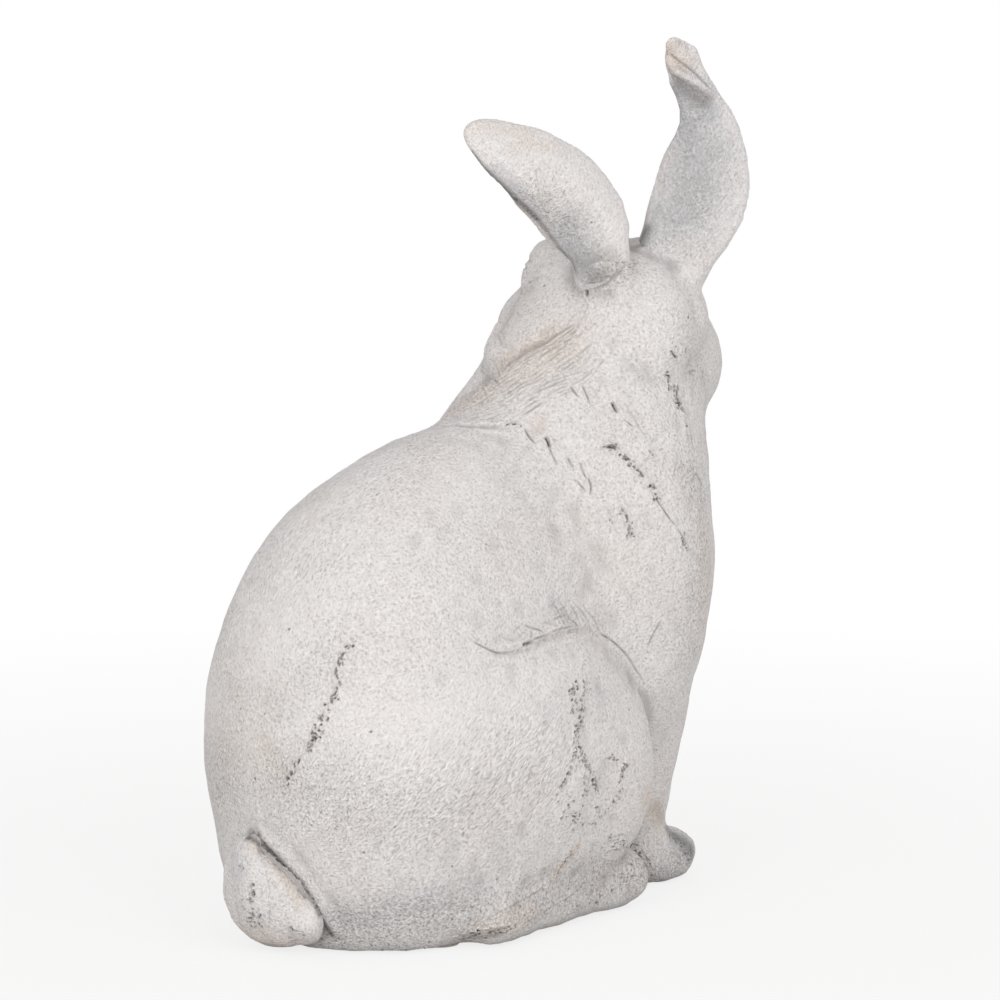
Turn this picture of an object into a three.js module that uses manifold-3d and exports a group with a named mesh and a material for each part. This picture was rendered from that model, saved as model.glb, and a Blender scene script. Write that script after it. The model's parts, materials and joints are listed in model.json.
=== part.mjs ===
// Seated rabbit ornament, about 330 mm tall, in hollow cast resin with a chalk finish.
// The body is one slush-cast shell. The ears and the tail are cast apart and glued into sockets, the ears
// on steel dowels. A resin plate closes the casting hole in the underside, and four felt pads stand on the
// table.
// Millimetres. The rabbit looks along -Y, +X is its left side and +Z is up. Its head turns to its left.
import * as THREE from 'three';
import { mergeVertices } from 'three/addons/utils/BufferGeometryUtils.js';
import Module from 'manifold-3d';

const wasm = await Module();
wasm.setup();

// Joints and walls
const GLUE_GAP = 0.3; // left between two glued surfaces
const SEAT_GAP = 0.5; // left under an ear or the tail, where it lies against the carved skin
const WALL = 7; // thickness of the cast shell
const SOCKET_END = 2; // resin left behind the tail's peg
const FLOOR = 8; // thickness of the shell's underside
const PAD_THICKNESS = 1;
const PAD_DIAMETER = 14;

// Torso: each mass is a soft-edged ellipsoid, given by its full size and the place of its centre
const RUMP = { width: 120, length: 110, height: 172, y: 36, z: 71 };
const BACK = { width: 110, length: 146, height: 162, y: -7, z: 101 };
const CHEST = { width: 104, length: 88, height: 150, y: -75, z: 132 };
const SEAT = { width: 112, length: 136, height: 56, y: 2, z: 18 };
const SHOULDER = { width: 44, length: 62, height: 108, x: 34, y: -72, z: 116 };
const LAP = { width: 72, length: 82, height: 84, y: -46, z: 40 };
const NECK = { bottomRadius: 46, topRadius: 34, y: -70, z: 146, back: -4, drop: 28 };
const NAPE = { topRadius: 27, bottomRadius: 30, topY: -62, topZ: 180, bottomY: -36, bottomZ: 154 };

// Limbs, left and right alike
const HAUNCH = { width: 46, length: 122, height: 104, x: 45, y: -2, z: 64 };
const KNEE = { width: 36, length: 46, height: 70, x: 45, y: -42, z: 52 };
const FORELEG = {
  elbowRadius: 22,
  wristRadius: 10,
  x: 25,
  y: -85,
  z: 75,
  wristX: 20,
  wristY: -92,
  wristZ: 16,
};
const FOREPAW = { width: 25, length: 38, height: 24, x: 20, y: -105, z: 9 };
const HINDFOOT = { heelRadius: 10, ballRadius: 10, heelX: 51, heelY: 20, ballX: 40, ballY: -46, z: 9 };
const HINDTOES = { width: 28, length: 38, height: 29, x: 38, y: -52, z: 11 };

// Head, in its own frame: centre at the top of the neck, face along -Y
const HEAD = { x: -9, y: -89, z: 221, turn: 78, nod: -8, tilt: 2 };
const CRANIUM = { width: 54, length: 68, height: 53, y: 8, z: 0 };
const FACE = { backRadius: 24, frontRadius: 19, backY: -8, backZ: 1, frontY: -36, frontZ: -9 };
const CHEEK = { width: 46, length: 54, height: 46, x: 25, y: -1, z: -21 };
const WHISKER_PAD = { width: 20, length: 20, height: 18, x: 8, y: -46, z: -13 };
const NOSE = { width: 14, length: 9, height: 8, y: -54, z: -4 };
const CHIN = { width: 20, length: 22, height: 14, y: -42, z: -25 };
const BROW = { width: 16, length: 34, height: 24, y: -13, z: 17, proud: 1.2 };
const EYE = { diameter: 15, y: -21, z: 11, proud: 2.4 };

// Ears: the path runs from the root on the skull, in the head's frame, x away from the middle of the head
const EAR_ROOT = { x: 16, y: 9, lean: 14 };
const LEFT_EAR = {
  path: [
    [0, 0, 0],
    [6, -6, 20],
    [25, -10, 38],
    [55, -15, 53],
  ],
  facing: [-0.4, -0.85, -0.4],
  tipFacing: [-0.4, -0.85, -0.4],
  turnFrom: 0.7,
  rootWidth: 21,
  fullWidth: 34.5,
  tipWidth: 16,
  taperFrom: 0.48,
  taperTo: 1,
};
const RIGHT_EAR = {
  path: [
    [0, 0, 0],
    [10, 2, 23],
    [14, -1, 51],
    [5, -4, 71],
    [-7, 1, 86],
  ],
  facing: [0.53, -0.8, -0.27],
  tipFacing: [0.1, -0.9, 0.4],
  turnFrom: 0.7,
  rootWidth: 29.5,
  fullWidth: 37,
  tipWidth: 15,
  taperFrom: 0.42,
  taperTo: 0.78,
};
const EAR_RIM = 5; // thickness of an ear's blade
const EAR_EDGE = 0.35; // share of that thickness left where a blade runs out to a point
const EAR_FULL_FROM = 7.8; // half width from which a blade has its whole thickness
const EAR_STEM = 17; // thickness of an ear at its root
const EAR_CUP = 7; // depth of the hollow in its front
const EAR_TENON = { diameter: 12, length: 11 };
const EAR_PIN = { diameter: 3, length: 32 };

const TAIL = { width: 46, length: 30, height: 42, y: 79, z: 22 };
const TAIL_TIP = { width: 20, length: 20, height: 26, y: 82, z: 31 };
const TAIL_PEG = { diameter: 9, z: 20 };

// Closing plate of the underside
const PLATE = { width: 70, length: 104, thickness: 4, y: -4 };
const PLATE_LEDGE = 6;
const FRONT_PAD = { x: 20, y: -103 };
const REAR_PAD = { x: 37, y: 32 };

// Blend radii: how softly one mass runs into the next
const SOFT = 26;
const FLESH = 22;
const FOLD = 14;
const FIRM = 12;
const JOWL = 8;
const CREASE = 5;
const LINE = 3;

// Facet sizes
const BODY_CELL = 2.5;
const BODY_TRIANGLES = 7600;
const CAVITY_CELL = 6;
const CAVITY_TRIANGLES = 900;
const TAIL_CELL = 2;
const TAIL_TRIANGLES = 620;
const LUMP_CELL = 1.5;
const LUMP_TRIANGLES = 1000;
const EAR_STATIONS = 22;
const EAR_POINTS = 16;
const ROUND_SEGMENTS = 24;

/** A shape given by a signed distance, negative inside, and the box that it lies in. */
function mass(distance, box) {
  return { distance, box };
}

/** An ellipsoid of full size width, length and height about (x, y, z). */
function ellipsoid({ width, length, height, x = 0, y = 0, z = 0 }) {
  const [a, b, c] = [width / 2, length / 2, height / 2];
  const distance = (px, py, pz) => {
    const [u, v, w] = [(px - x) / a, (py - y) / b, (pz - z) / c];
    const k0 = Math.sqrt(u * u + v * v + w * w);
    const k1 = Math.sqrt((u * u) / (a * a) + (v * v) / (b * b) + (w * w) / (c * c));
    return k1 < 1e-6 ? -Math.min(a, b, c) : (k0 * (k0 - 1)) / k1;
  };
  const centre = new THREE.Vector3(x, y, z);
  const size = new THREE.Vector3(width, length, height);
  return mass(distance, new THREE.Box3().setFromCenterAndSize(centre, size));
}

/** A limb: the skin round two balls, one at each end. */
function limb(start, end, startRadius, endRadius) {
  const axis = end.clone().sub(start);
  const length2 = axis.lengthSq();
  const drop = startRadius - endRadius;
  const side2 = length2 - drop * drop;
  const distance = (px, py, pz) => {
    const [dx, dy, dz] = [px - start.x, py - start.y, pz - start.z];
    const along = dx * axis.x + dy * axis.y + dz * axis.z;
    const beyond = along - length2;
    const cx = dx * length2 - axis.x * along;
    const cy = dy * length2 - axis.y * along;
    const cz = dz * length2 - axis.z * along;
    const across2 = cx * cx + cy * cy + cz * cz;
    const lean = Math.sign(drop) * drop * drop * across2;
    const beyond2 = beyond * beyond * length2;
    const along2 = along * along * length2;
    if (Math.sign(beyond) * side2 * beyond2 > lean) return Math.sqrt(across2 + beyond2) / length2 - endRadius;
    if (Math.sign(along) * side2 * along2 < lean) return Math.sqrt(across2 + along2) / length2 - startRadius;
    return (Math.sqrt((across2 * side2) / length2) + along * drop) / length2 - startRadius;
  };
  const box = new THREE.Box3().setFromPoints([start, end]);
  return mass(distance, box.expandByScalar(Math.max(startRadius, endRadius)));
}

/** The same mass on the left and on the right. */
function paired(one) {
  const box = one.box.clone();
  box.min.x = -box.max.x;
  return mass((x, y, z) => one.distance(Math.abs(x), y, z), box);
}

/** Masses run together, with a fillet of the given softness at each join. */
function blend(softness, ...masses) {
  const distance = (x, y, z) => {
    let d = masses[0].distance(x, y, z);
    for (let i = 1; i < masses.length; i++) {
      const e = masses[i].distance(x, y, z);
      const near = Math.max(softness - Math.abs(d - e), 0) / softness;
      d = Math.min(d, e) - (near * near * softness) / 4;
    }
    return d;
  };
  const box = masses.reduce((all, m) => all.union(m.box), new THREE.Box3());
  return mass(distance, box.expandByScalar(softness / 4));
}

/** A mass moved and turned by a matrix. */
function placed(one, matrix) {
  const inverse = matrix.clone().invert().elements;
  const distance = (x, y, z) =>
    one.distance(
      inverse[0] * x + inverse[4] * y + inverse[8] * z + inverse[12],
      inverse[1] * x + inverse[5] * y + inverse[9] * z + inverse[13],
      inverse[2] * x + inverse[6] * y + inverse[10] * z + inverse[14],
    );
  return mass(distance, one.box.clone().applyMatrix4(matrix));
}

/** A mass grown outwards by an amount, or shrunk where the amount is negative. */
function grown(one, amount) {
  return mass((x, y, z) => one.distance(x, y, z) - amount, one.box.clone().expandByScalar(amount));
}

/** The part of a mass that lies in a box. */
function within(one, box) {
  const distance = (x, y, z) =>
    Math.max(
      one.distance(x, y, z),
      box.min.x - x,
      x - box.max.x,
      box.min.y - y,
      y - box.max.y,
      box.min.z - z,
      z - box.max.z,
    );
  return mass(distance, one.box.clone().intersect(box));
}

const radians = THREE.MathUtils.degToRad;
const headTurn = new THREE.Euler(radians(HEAD.nod), radians(HEAD.tilt), radians(HEAD.turn), 'ZYX');
const headFrame = new THREE.Matrix4().makeRotationFromEuler(headTurn).setPosition(HEAD.x, HEAD.y, HEAD.z);

function torso() {
  const neckFoot = new THREE.Vector3(0, NECK.y, NECK.z);
  const neckTop = new THREE.Vector3(HEAD.x, HEAD.y + NECK.back, HEAD.z - NECK.drop);
  const napeTop = new THREE.Vector3(0, NAPE.topY, NAPE.topZ);
  const napeFoot = new THREE.Vector3(0, NAPE.bottomY, NAPE.bottomZ);
  const behind = blend(SOFT, ellipsoid(RUMP), ellipsoid(BACK), ellipsoid(SEAT), ellipsoid(LAP));
  const before = blend(
    SOFT,
    ellipsoid(CHEST),
    paired(ellipsoid(SHOULDER)),
    limb(neckFoot, neckTop, NECK.bottomRadius, NECK.topRadius),
    limb(napeTop, napeFoot, NAPE.topRadius, NAPE.bottomRadius),
  );
  return blend(FOLD, behind, before);
}

function head() {
  const muzzle = limb(
    new THREE.Vector3(0, FACE.backY, FACE.backZ),
    new THREE.Vector3(0, FACE.frontY, FACE.frontZ),
    FACE.backRadius,
    FACE.frontRadius,
  );
  const skull = blend(FLESH, ellipsoid(CRANIUM), muzzle, paired(ellipsoid(CHEEK)));
  const sideOf = (y, z) => wayOut(skull, new THREE.Vector3(0, y, z), new THREE.Vector3(1, 0, 0)).x;
  const cheekbone = sideOf(EYE.y, EYE.z);
  const ball = { width: EYE.diameter, length: EYE.diameter, height: EYE.diameter };
  const eye = ellipsoid({ ...EYE, ...ball, x: cheekbone + EYE.proud - EYE.diameter / 2 });
  const brow = ellipsoid({ ...BROW, x: sideOf(BROW.y, BROW.z) + BROW.proud - BROW.width / 2 });
  const mouth = blend(JOWL, skull, paired(brow), ellipsoid(CHIN), paired(ellipsoid(WHISKER_PAD)));
  return placed(blend(LINE, mouth, ellipsoid(NOSE), paired(eye)), headFrame);
}

function limbs() {
  const thigh = blend(FIRM, ellipsoid(HAUNCH), ellipsoid(KNEE));
  const foot = limb(
    new THREE.Vector3(HINDFOOT.heelX, HINDFOOT.heelY, HINDFOOT.z),
    new THREE.Vector3(HINDFOOT.ballX, HINDFOOT.ballY, HINDFOOT.z),
    HINDFOOT.heelRadius,
    HINDFOOT.ballRadius,
  );
  const foreleg = blend(
    FIRM,
    limb(
      new THREE.Vector3(FORELEG.x, FORELEG.y, FORELEG.z),
      new THREE.Vector3(FORELEG.wristX, FORELEG.wristY, FORELEG.wristZ),
      FORELEG.elbowRadius,
      FORELEG.wristRadius,
    ),
    ellipsoid(FOREPAW),
  );
  return [paired(blend(FIRM, thigh, foot)), paired(ellipsoid(HINDTOES)), paired(foreleg)];
}

const trunk = torso();
const skin = blend(CREASE, trunk, head(), ...limbs());

const CELL_CORNERS = [0, 1, 2, 3, 4, 5, 6, 7].map((c) => [c & 1, (c >> 1) & 1, c >> 2]);

/** Whether a cell's eight corners, one bit each, make one group inside and one outside, joined by edges. */
function isOneSheet(pattern) {
  const groupOf = (start, inside) => {
    const found = new Set([start]);
    for (const a of found)
      for (const bit of [1, 2, 4]) if (((pattern >> (a ^ bit)) & 1) === inside) found.add(a ^ bit);
    return found.size;
  };
  return [0, 1].every((inside) => {
    const members = CELL_CORNERS.map((_, c) => c).filter((c) => ((pattern >> c) & 1) === inside);
    return members.length > 0 && groupOf(members[0], inside) === members.length;
  });
}

/** Fills in corners of each cell that two sheets of the surface would cross, so that every cell holds one. */
function mendCells(values, [nx, ny, nz]) {
  const oneSheet = Array.from({ length: 256 }, (_, pattern) => isOneSheet(pattern));
  const offsets = CELL_CORNERS.map(([a, b, c]) => a + nx * (b + ny * c));
  let filled = 1;
  while (filled) {
    filled = 0;
    for (let k = 0; k < nz - 1; k++)
      for (let j = 0; j < ny - 1; j++)
        for (let i = 0; i < nx - 1; i++) {
          const first = i + nx * (j + ny * k);
          let pattern = 0;
          for (let c = 0; c < 8; c++) if (values[first + offsets[c]] < 0) pattern |= 1 << c;
          if (pattern === 0 || pattern === 255 || oneSheet[pattern]) continue;
          const outside = offsets.map((offset) => first + offset).filter((n) => values[n] >= 0);
          values[outside.reduce((near, n) => (values[n] < values[near] ? n : near))] = -1e-3;
          filled++;
        }
  }
}

/** The surface where a mass's distance is zero: a closed mesh with one vertex in each cell it crosses. */
function surfaceOf(one, cell) {
  const box = one.box.clone().expandByScalar(2 * cell);
  const size = box.getSize(new THREE.Vector3());
  const [nx, ny, nz] = [size.x, size.y, size.z].map((s) => Math.ceil(s / cell) + 1);
  const values = new Float32Array(nx * ny * nz);
  const at = (i, j, k) => i + nx * (j + ny * k);
  for (let k = 0; k < nz; k++)
    for (let j = 0; j < ny; j++)
      for (let i = 0; i < nx; i++)
        values[at(i, j, k)] = one.distance(box.min.x + i * cell, box.min.y + j * cell, box.min.z + k * cell);
  mendCells(values, [nx, ny, nz]);

  const corners = CELL_CORNERS;
  const edges = [];
  for (let a = 0; a < 8; a++) for (const bit of [1, 2, 4]) if (!(a & bit)) edges.push([a, a | bit]);
  const vertexOf = new Int32Array(nx * ny * nz).fill(-1);
  const positions = [];
  for (let k = 0; k < nz - 1; k++)
    for (let j = 0; j < ny - 1; j++)
      for (let i = 0; i < nx - 1; i++) {
        const inside = corners.filter(([a, b, c]) => values[at(i + a, j + b, k + c)] < 0).length;
        if (inside === 0 || inside === 8) continue;
        const d = corners.map(([a, b, c]) => values[at(i + a, j + b, k + c)]);
        const crossed = edges.filter(([a, b]) => d[a] < 0 !== d[b] < 0);
        const middle = [0, 0, 0];
        for (const [a, b] of crossed) {
          const t = d[a] / (d[a] - d[b]);
          for (let axis = 0; axis < 3; axis++)
            middle[axis] += (corners[a][axis] + t * (corners[b][axis] - corners[a][axis])) / crossed.length;
        }
        vertexOf[at(i, j, k)] = positions.length / 3;
        const place = [i, j, k].map((n, axis) => (n + middle[axis]) * cell);
        positions.push(box.min.x + place[0], box.min.y + place[1], box.min.z + place[2]);
      }
  settle(one, positions, cell);

  const triangles = [];
  const across = (p, q) => Math.hypot(...[0, 1, 2].map((n) => positions[3 * p + n] - positions[3 * q + n]));
  const quad = (inside, ...round) => {
    const [p, q, r, s] = inside ? round : round.reverse();
    if (across(p, r) < across(q, s)) triangles.push(p, q, r, p, r, s);
    else triangles.push(p, q, s, q, r, s);
  };
  for (let k = 1; k < nz - 1; k++)
    for (let j = 1; j < ny - 1; j++)
      for (let i = 1; i < nx - 1; i++) {
        const inside = values[at(i, j, k)] < 0;
        const near = (a, b, c) => vertexOf[at(i - a, j - b, k - c)];
        if (inside !== values[at(i + 1, j, k)] < 0)
          quad(inside, near(0, 1, 1), near(0, 0, 1), near(0, 0, 0), near(0, 1, 0));
        if (inside !== values[at(i, j + 1, k)] < 0)
          quad(inside, near(1, 0, 1), near(1, 0, 0), near(0, 0, 0), near(0, 0, 1));
        if (inside !== values[at(i, j, k + 1)] < 0)
          quad(inside, near(1, 1, 0), near(0, 1, 0), near(0, 0, 0), near(1, 0, 0));
      }
  return { positions, triangles };
}

/** Slides each point along the slope of the distance onto the surface itself. */
function settle(one, positions, reach) {
  const step = 0.05;
  for (let round = 0; round < 2; round++)
    for (let v = 0; v < positions.length; v += 3) {
      const [x, y, z] = [positions[v], positions[v + 1], positions[v + 2]];
      const d = one.distance(x, y, z);
      const slope = [
        (one.distance(x + step, y, z) - one.distance(x - step, y, z)) / (2 * step),
        (one.distance(x, y + step, z) - one.distance(x, y - step, z)) / (2 * step),
        (one.distance(x, y, z + step) - one.distance(x, y, z - step)) / (2 * step),
      ];
      const steepness = slope[0] ** 2 + slope[1] ** 2 + slope[2] ** 2;
      const move = THREE.MathUtils.clamp(d / Math.max(steepness, 0.1), -reach / 2, reach / 2);
      for (let axis = 0; axis < 3; axis++) positions[v + axis] -= move * slope[axis];
    }
}

/** Fewer triangles for a closed mesh: the edges that bend the surface least are drawn together first. */
function simplified({ positions, triangles }, target) {
  const count = positions.length / 3;
  const point = (v) => [positions[3 * v], positions[3 * v + 1], positions[3 * v + 2]];
  const minus = (p, q) => [p[0] - q[0], p[1] - q[1], p[2] - q[2]];
  const dot = (p, q) => p[0] * q[0] + p[1] * q[1] + p[2] * q[2];
  const cross = (p, q) => [p[1] * q[2] - p[2] * q[1], p[2] * q[0] - p[0] * q[2], p[0] * q[1] - p[1] * q[0]];

  const faces = [];
  const around = Array.from({ length: count }, () => new Set());
  const quadrics = Array.from({ length: count }, () => new Float64Array(10));
  for (let t = 0; t < triangles.length; t += 3) {
    const face = triangles.slice(t, t + 3);
    const [p, q, r] = face.map(point);
    const normal = cross(minus(q, p), minus(r, p));
    const length = Math.sqrt(dot(normal, normal));
    face.forEach((v) => around[v].add(faces.length));
    faces.push(face);
    if (length < 1e-12) continue;
    const [a, b, c] = normal.map((n) => n / length);
    const d = -dot([a, b, c], p);
    const terms = [a * a, a * b, a * c, a * d, b * b, b * c, b * d, c * c, c * d, d * d];
    face.forEach((v) => terms.forEach((term, n) => (quadrics[v][n] += (term * length) / 2)));
  }

  // The quadric's own best point for an edge, held near the edge's middle where the surface is flat
  const best = (v, w) => {
    const Q = quadrics[v].map((term, n) => term + quadrics[w][n]);
    const [p, q] = [point(v), point(w)];
    const middle = p.map((n, axis) => (n + q[axis]) / 2);
    const hold = 1e-3 * (Q[0] + Q[4] + Q[7]) + 1e-9;
    const [xx, yy, zz] = [Q[0] + hold, Q[4] + hold, Q[7] + hold];
    const matrix = new THREE.Matrix3(xx, Q[1], Q[2], Q[1], yy, Q[5], Q[2], Q[5], zz);
    const right = middle.map((n, axis) => hold * n - Q[[3, 6, 8][axis]]);
    const place = new THREE.Vector3(...right).applyMatrix3(matrix.invert()).toArray();
    const [x, y, z] = place;
    const bend =
      Q[0] * x * x + 2 * Q[1] * x * y + 2 * Q[2] * x * z + 2 * Q[3] * x +
      Q[4] * y * y + 2 * Q[5] * y * z + 2 * Q[6] * y + Q[7] * z * z + 2 * Q[8] * z + Q[9];
    const reach = dot(minus(p, q), minus(p, q));
    return { cost: Math.max(bend, 0) + 1e-5 * reach * reach, place };
  };

  const heap = [];
  const lower = (i, j) => heap[i].cost < heap[j].cost;
  const swap = (i, j) => ([heap[i], heap[j]] = [heap[j], heap[i]]);
  const push = (entry) => {
    heap.push(entry);
    for (let i = heap.length - 1; i > 0 && lower(i, (i - 1) >> 1); i = (i - 1) >> 1) swap(i, (i - 1) >> 1);
  };
  const pop = () => {
    swap(0, heap.length - 1);
    const top = heap.pop();
    for (let i = 0; ; ) {
      let small = i;
      for (const child of [2 * i + 1, 2 * i + 2])
        if (child < heap.length && lower(child, small)) small = child;
      if (small === i) return top;
      swap(i, small);
      i = small;
    }
  };

  const version = new Int32Array(count);
  const offer = (v, w) => push({ ...best(v, w), v, w, at: version[v] + version[w] });
  const neighbours = (v) => {
    const found = new Set();
    for (const f of around[v]) for (const w of faces[f]) if (w !== v) found.add(w);
    return found;
  };
  const turnsOver = (v, other, place) => {
    for (const f of around[v]) {
      if (faces[f].includes(other)) continue;
      const [q, r] = [1, 2].map((n) => point(faces[f][(faces[f].indexOf(v) + n) % 3]));
      const was = cross(minus(q, point(v)), minus(r, point(v)));
      const is = cross(minus(q, place), minus(r, place));
      const [wasArea, isArea] = [was, is].map((n) => Math.sqrt(dot(n, n)));
      const longest = Math.max(dot(minus(q, place), minus(q, place)), dot(minus(r, place), minus(r, place)));
      if (dot(was, is) < 0.4 * wasArea * isArea || isArea < 0.06 * longest) return true;
    }
    return false;
  };

  for (const [a, b, c] of faces) for (const [v, w] of [[a, b], [b, c], [c, a]]) if (v < w) offer(v, w);
  let left = faces.length;
  while (left > target && heap.length) {
    const { v, w, at, place } = pop();
    if (!around[v].size || !around[w].size || at !== version[v] + version[w]) continue;
    const [nearV, nearW] = [neighbours(v), neighbours(w)];
    if (!nearV.has(w) || [...nearV].filter((n) => nearW.has(n)).length !== 2) continue;
    if (turnsOver(v, w, place) || turnsOver(w, v, place)) continue;
    for (const f of around[w]) {
      if (faces[f].includes(v)) {
        faces[f].forEach((n) => n !== w && around[n].delete(f));
        faces[f] = null;
        left--;
      } else {
        faces[f][faces[f].indexOf(w)] = v;
        around[v].add(f);
      }
    }
    around[w].clear();
    place.forEach((n, axis) => (positions[3 * v + axis] = n));
    quadrics[w].forEach((term, n) => (quadrics[v][n] += term));
    version[v] += version[w] + 1;
    for (const n of neighbours(v)) offer(v, n);
  }
  return { positions, triangles: faces.filter(Boolean).flat() };
}

/** A closed mesh as a manifold-3d solid. */
function solidOf({ positions, triangles }) {
  const geometry = new THREE.BufferGeometry();
  geometry.setAttribute('position', new THREE.Float32BufferAttribute(positions, 3));
  geometry.setIndex(triangles);
  return solidOfGeometry(geometry);
}

function solidOfGeometry(geometry) {
  const bare = new THREE.BufferGeometry();
  bare.setAttribute('position', geometry.getAttribute('position'));
  bare.setIndex(geometry.index);
  const merged = mergeVertices(bare, 1e-4);
  const vertProperties = merged.getAttribute('position').array;
  const triVerts = new Uint32Array(merged.index.array);
  return new wasm.Manifold(new wasm.Mesh({ numProp: 3, vertProperties, triVerts }));
}

/** A round pin along an axis, from one distance along it to another. */
function pin(origin, axis, from, to, diameter) {
  const geometry = new THREE.CylinderGeometry(diameter / 2, diameter / 2, to - from, ROUND_SEGMENTS);
  geometry.translate(0, (from + to) / 2, 0);
  geometry.applyQuaternion(new THREE.Quaternion().setFromUnitVectors(new THREE.Vector3(0, 1, 0), axis));
  geometry.translate(origin.x, origin.y, origin.z);
  return solidOfGeometry(geometry);
}

/** An upright slab with an oval outline, between two heights. */
function oval(width, length, y, bottom, top) {
  const shape = new THREE.Shape().absellipse(0, y, width / 2, length / 2, 0, 2 * Math.PI);
  const options = { depth: top - bottom, bevelEnabled: false, curveSegments: ROUND_SEGMENTS };
  const geometry = new THREE.ExtrudeGeometry(shape, options);
  geometry.translate(0, 0, bottom);
  return solidOfGeometry(geometry);
}

/** Everything above a height. */
function above(height) {
  const reach = 2 * skin.box.getSize(new THREE.Vector3()).length();
  const geometry = new THREE.BoxGeometry(reach, reach, reach);
  geometry.translate(0, 0, height + reach / 2);
  return solidOfGeometry(geometry);
}

/** Where a ray from inside a mass comes out of it. */
function wayOut(one, from, direction) {
  let [near, far] = [0, 0];
  while (one.distance(...from.clone().addScaledVector(direction, far).toArray()) < 0) far += 2;
  for (let round = 0; round < 40; round++) {
    const middle = (near + far) / 2;
    if (one.distance(...from.clone().addScaledVector(direction, middle).toArray()) < 0) near = middle;
    else far = middle;
  }
  return from.clone().addScaledVector(direction, near);
}

/** The blade of an ear, as sections carried along its path, which starts inside the skull. */
function blade(toWorld, axis, ear, side) {
  const local = (x, y, z) => new THREE.Vector3(side * x, y, z).applyMatrix4(toWorld);
  const heel = local(0, 0, 0).addScaledVector(axis, -EAR_STEM);
  const path = new THREE.CatmullRomCurve3([heel, ...ear.path.map((p) => local(...p))], false, 'centripetal');
  const turned = new THREE.Matrix4().extractRotation(toWorld);
  const direction = ([x, y, z]) => new THREE.Vector3(side * x, y, z).applyMatrix4(turned);
  const facings = [direction(ear.facing), direction(ear.tipFacing)];
  const skinAt = EAR_STEM / path.getLength();
  const stemEnd = 0.38; // share of the path at which the stem has spread into the blade
  const roundFrom = 0.86; // share of the path from which the tip is rounded off
  const reach = 1.02; // carries the last station almost to the tip
  const fullness = 0.7; // below 1, a section is fuller than an oval
  const positions = [];
  const triangles = [];
  for (let i = 0; i < EAR_STATIONS; i++) {
    const t = i === 0 ? 0 : Math.sin((i / EAR_STATIONS) * (Math.PI / 2) * reach);
    const along = path.getTangentAt(Math.min(t, 1));
    const facing = facings[0].clone().lerp(facings[1], THREE.MathUtils.smoothstep(t, ear.turnFrom, 1));
    facing.addScaledVector(along, -facing.dot(along)).normalize();
    const across = along.clone().cross(facing);
    const plug = 1 - THREE.MathUtils.smoothstep(t, 0, skinAt);
    const stem = 1 - THREE.MathUtils.smoothstep(t, skinAt, stemEnd);
    const taper = THREE.MathUtils.smoothstep(t, ear.taperFrom, ear.taperTo);
    const past = Math.max(t - roundFrom, 0) / (1 - roundFrom);
    const rounding = Math.sqrt(Math.max(1 - past ** 2, 0.02));
    const full = THREE.MathUtils.lerp(ear.fullWidth, ear.tipWidth, taper);
    const foot = THREE.MathUtils.lerp(ear.rootWidth, EAR_STEM, plug);
    const halfWidth = (THREE.MathUtils.lerp(full, foot, stem) * rounding) / 2;
    const edge = THREE.MathUtils.lerp(EAR_EDGE, 1, Math.min(1, halfWidth / EAR_FULL_FROM));
    const halfThick = (THREE.MathUtils.lerp(EAR_RIM, EAR_STEM, stem) / 2) * edge;
    const cup = EAR_CUP * (1 - stem) * (halfWidth / (ear.fullWidth / 2)) ** 2;
    const centre = path.getPointAt(Math.min(t, 1));
    for (let k = 0; k < EAR_POINTS; k++) {
      const angle = (2 * Math.PI * k) / EAR_POINTS;
      const q = Math.cos(angle);
      const swell = Math.sign(Math.sin(angle)) * Math.abs(Math.sin(angle)) ** fullness;
      const lift = cup * (q * q - 0.5) + halfThick * swell;
      const corner = centre.clone().addScaledVector(across, halfWidth * q).addScaledVector(facing, lift);
      positions.push(...corner.toArray());
    }
  }
  const ring = (i, k) => i * EAR_POINTS + (k % EAR_POINTS);
  for (let i = 0; i < EAR_STATIONS - 1; i++)
    for (let k = 0; k < EAR_POINTS; k++) {
      const [a, b, c, d] = [ring(i, k), ring(i, k + 1), ring(i + 1, k + 1), ring(i + 1, k)];
      triangles.push(a, c, b, a, d, c);
    }
  for (const [i, turn] of [[0, 1], [EAR_STATIONS - 1, 0]]) {
    const middle = positions.length / 3;
    const sum = new THREE.Vector3();
    for (let k = 0; k < EAR_POINTS; k++) sum.add(new THREE.Vector3().fromArray(positions, 3 * ring(i, k)));
    positions.push(...sum.divideScalar(EAR_POINTS).toArray());
    for (let k = 0; k < EAR_POINTS; k++)
      triangles.push(...(turn ? [middle, ring(i, k), ring(i, k + 1)] : [middle, ring(i, k + 1), ring(i, k)]));
  }
  return solidOf({ positions, triangles });
}

/** The skin inside a box, grown by the seat's gap, to cut the foot of a glued piece with. */
function seatIn(box) {
  const lump = within(grown(skin, SEAT_GAP), box);
  return solidOf(simplified(surfaceOf(lump, LUMP_CELL), LUMP_TRIANGLES));
}

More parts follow.
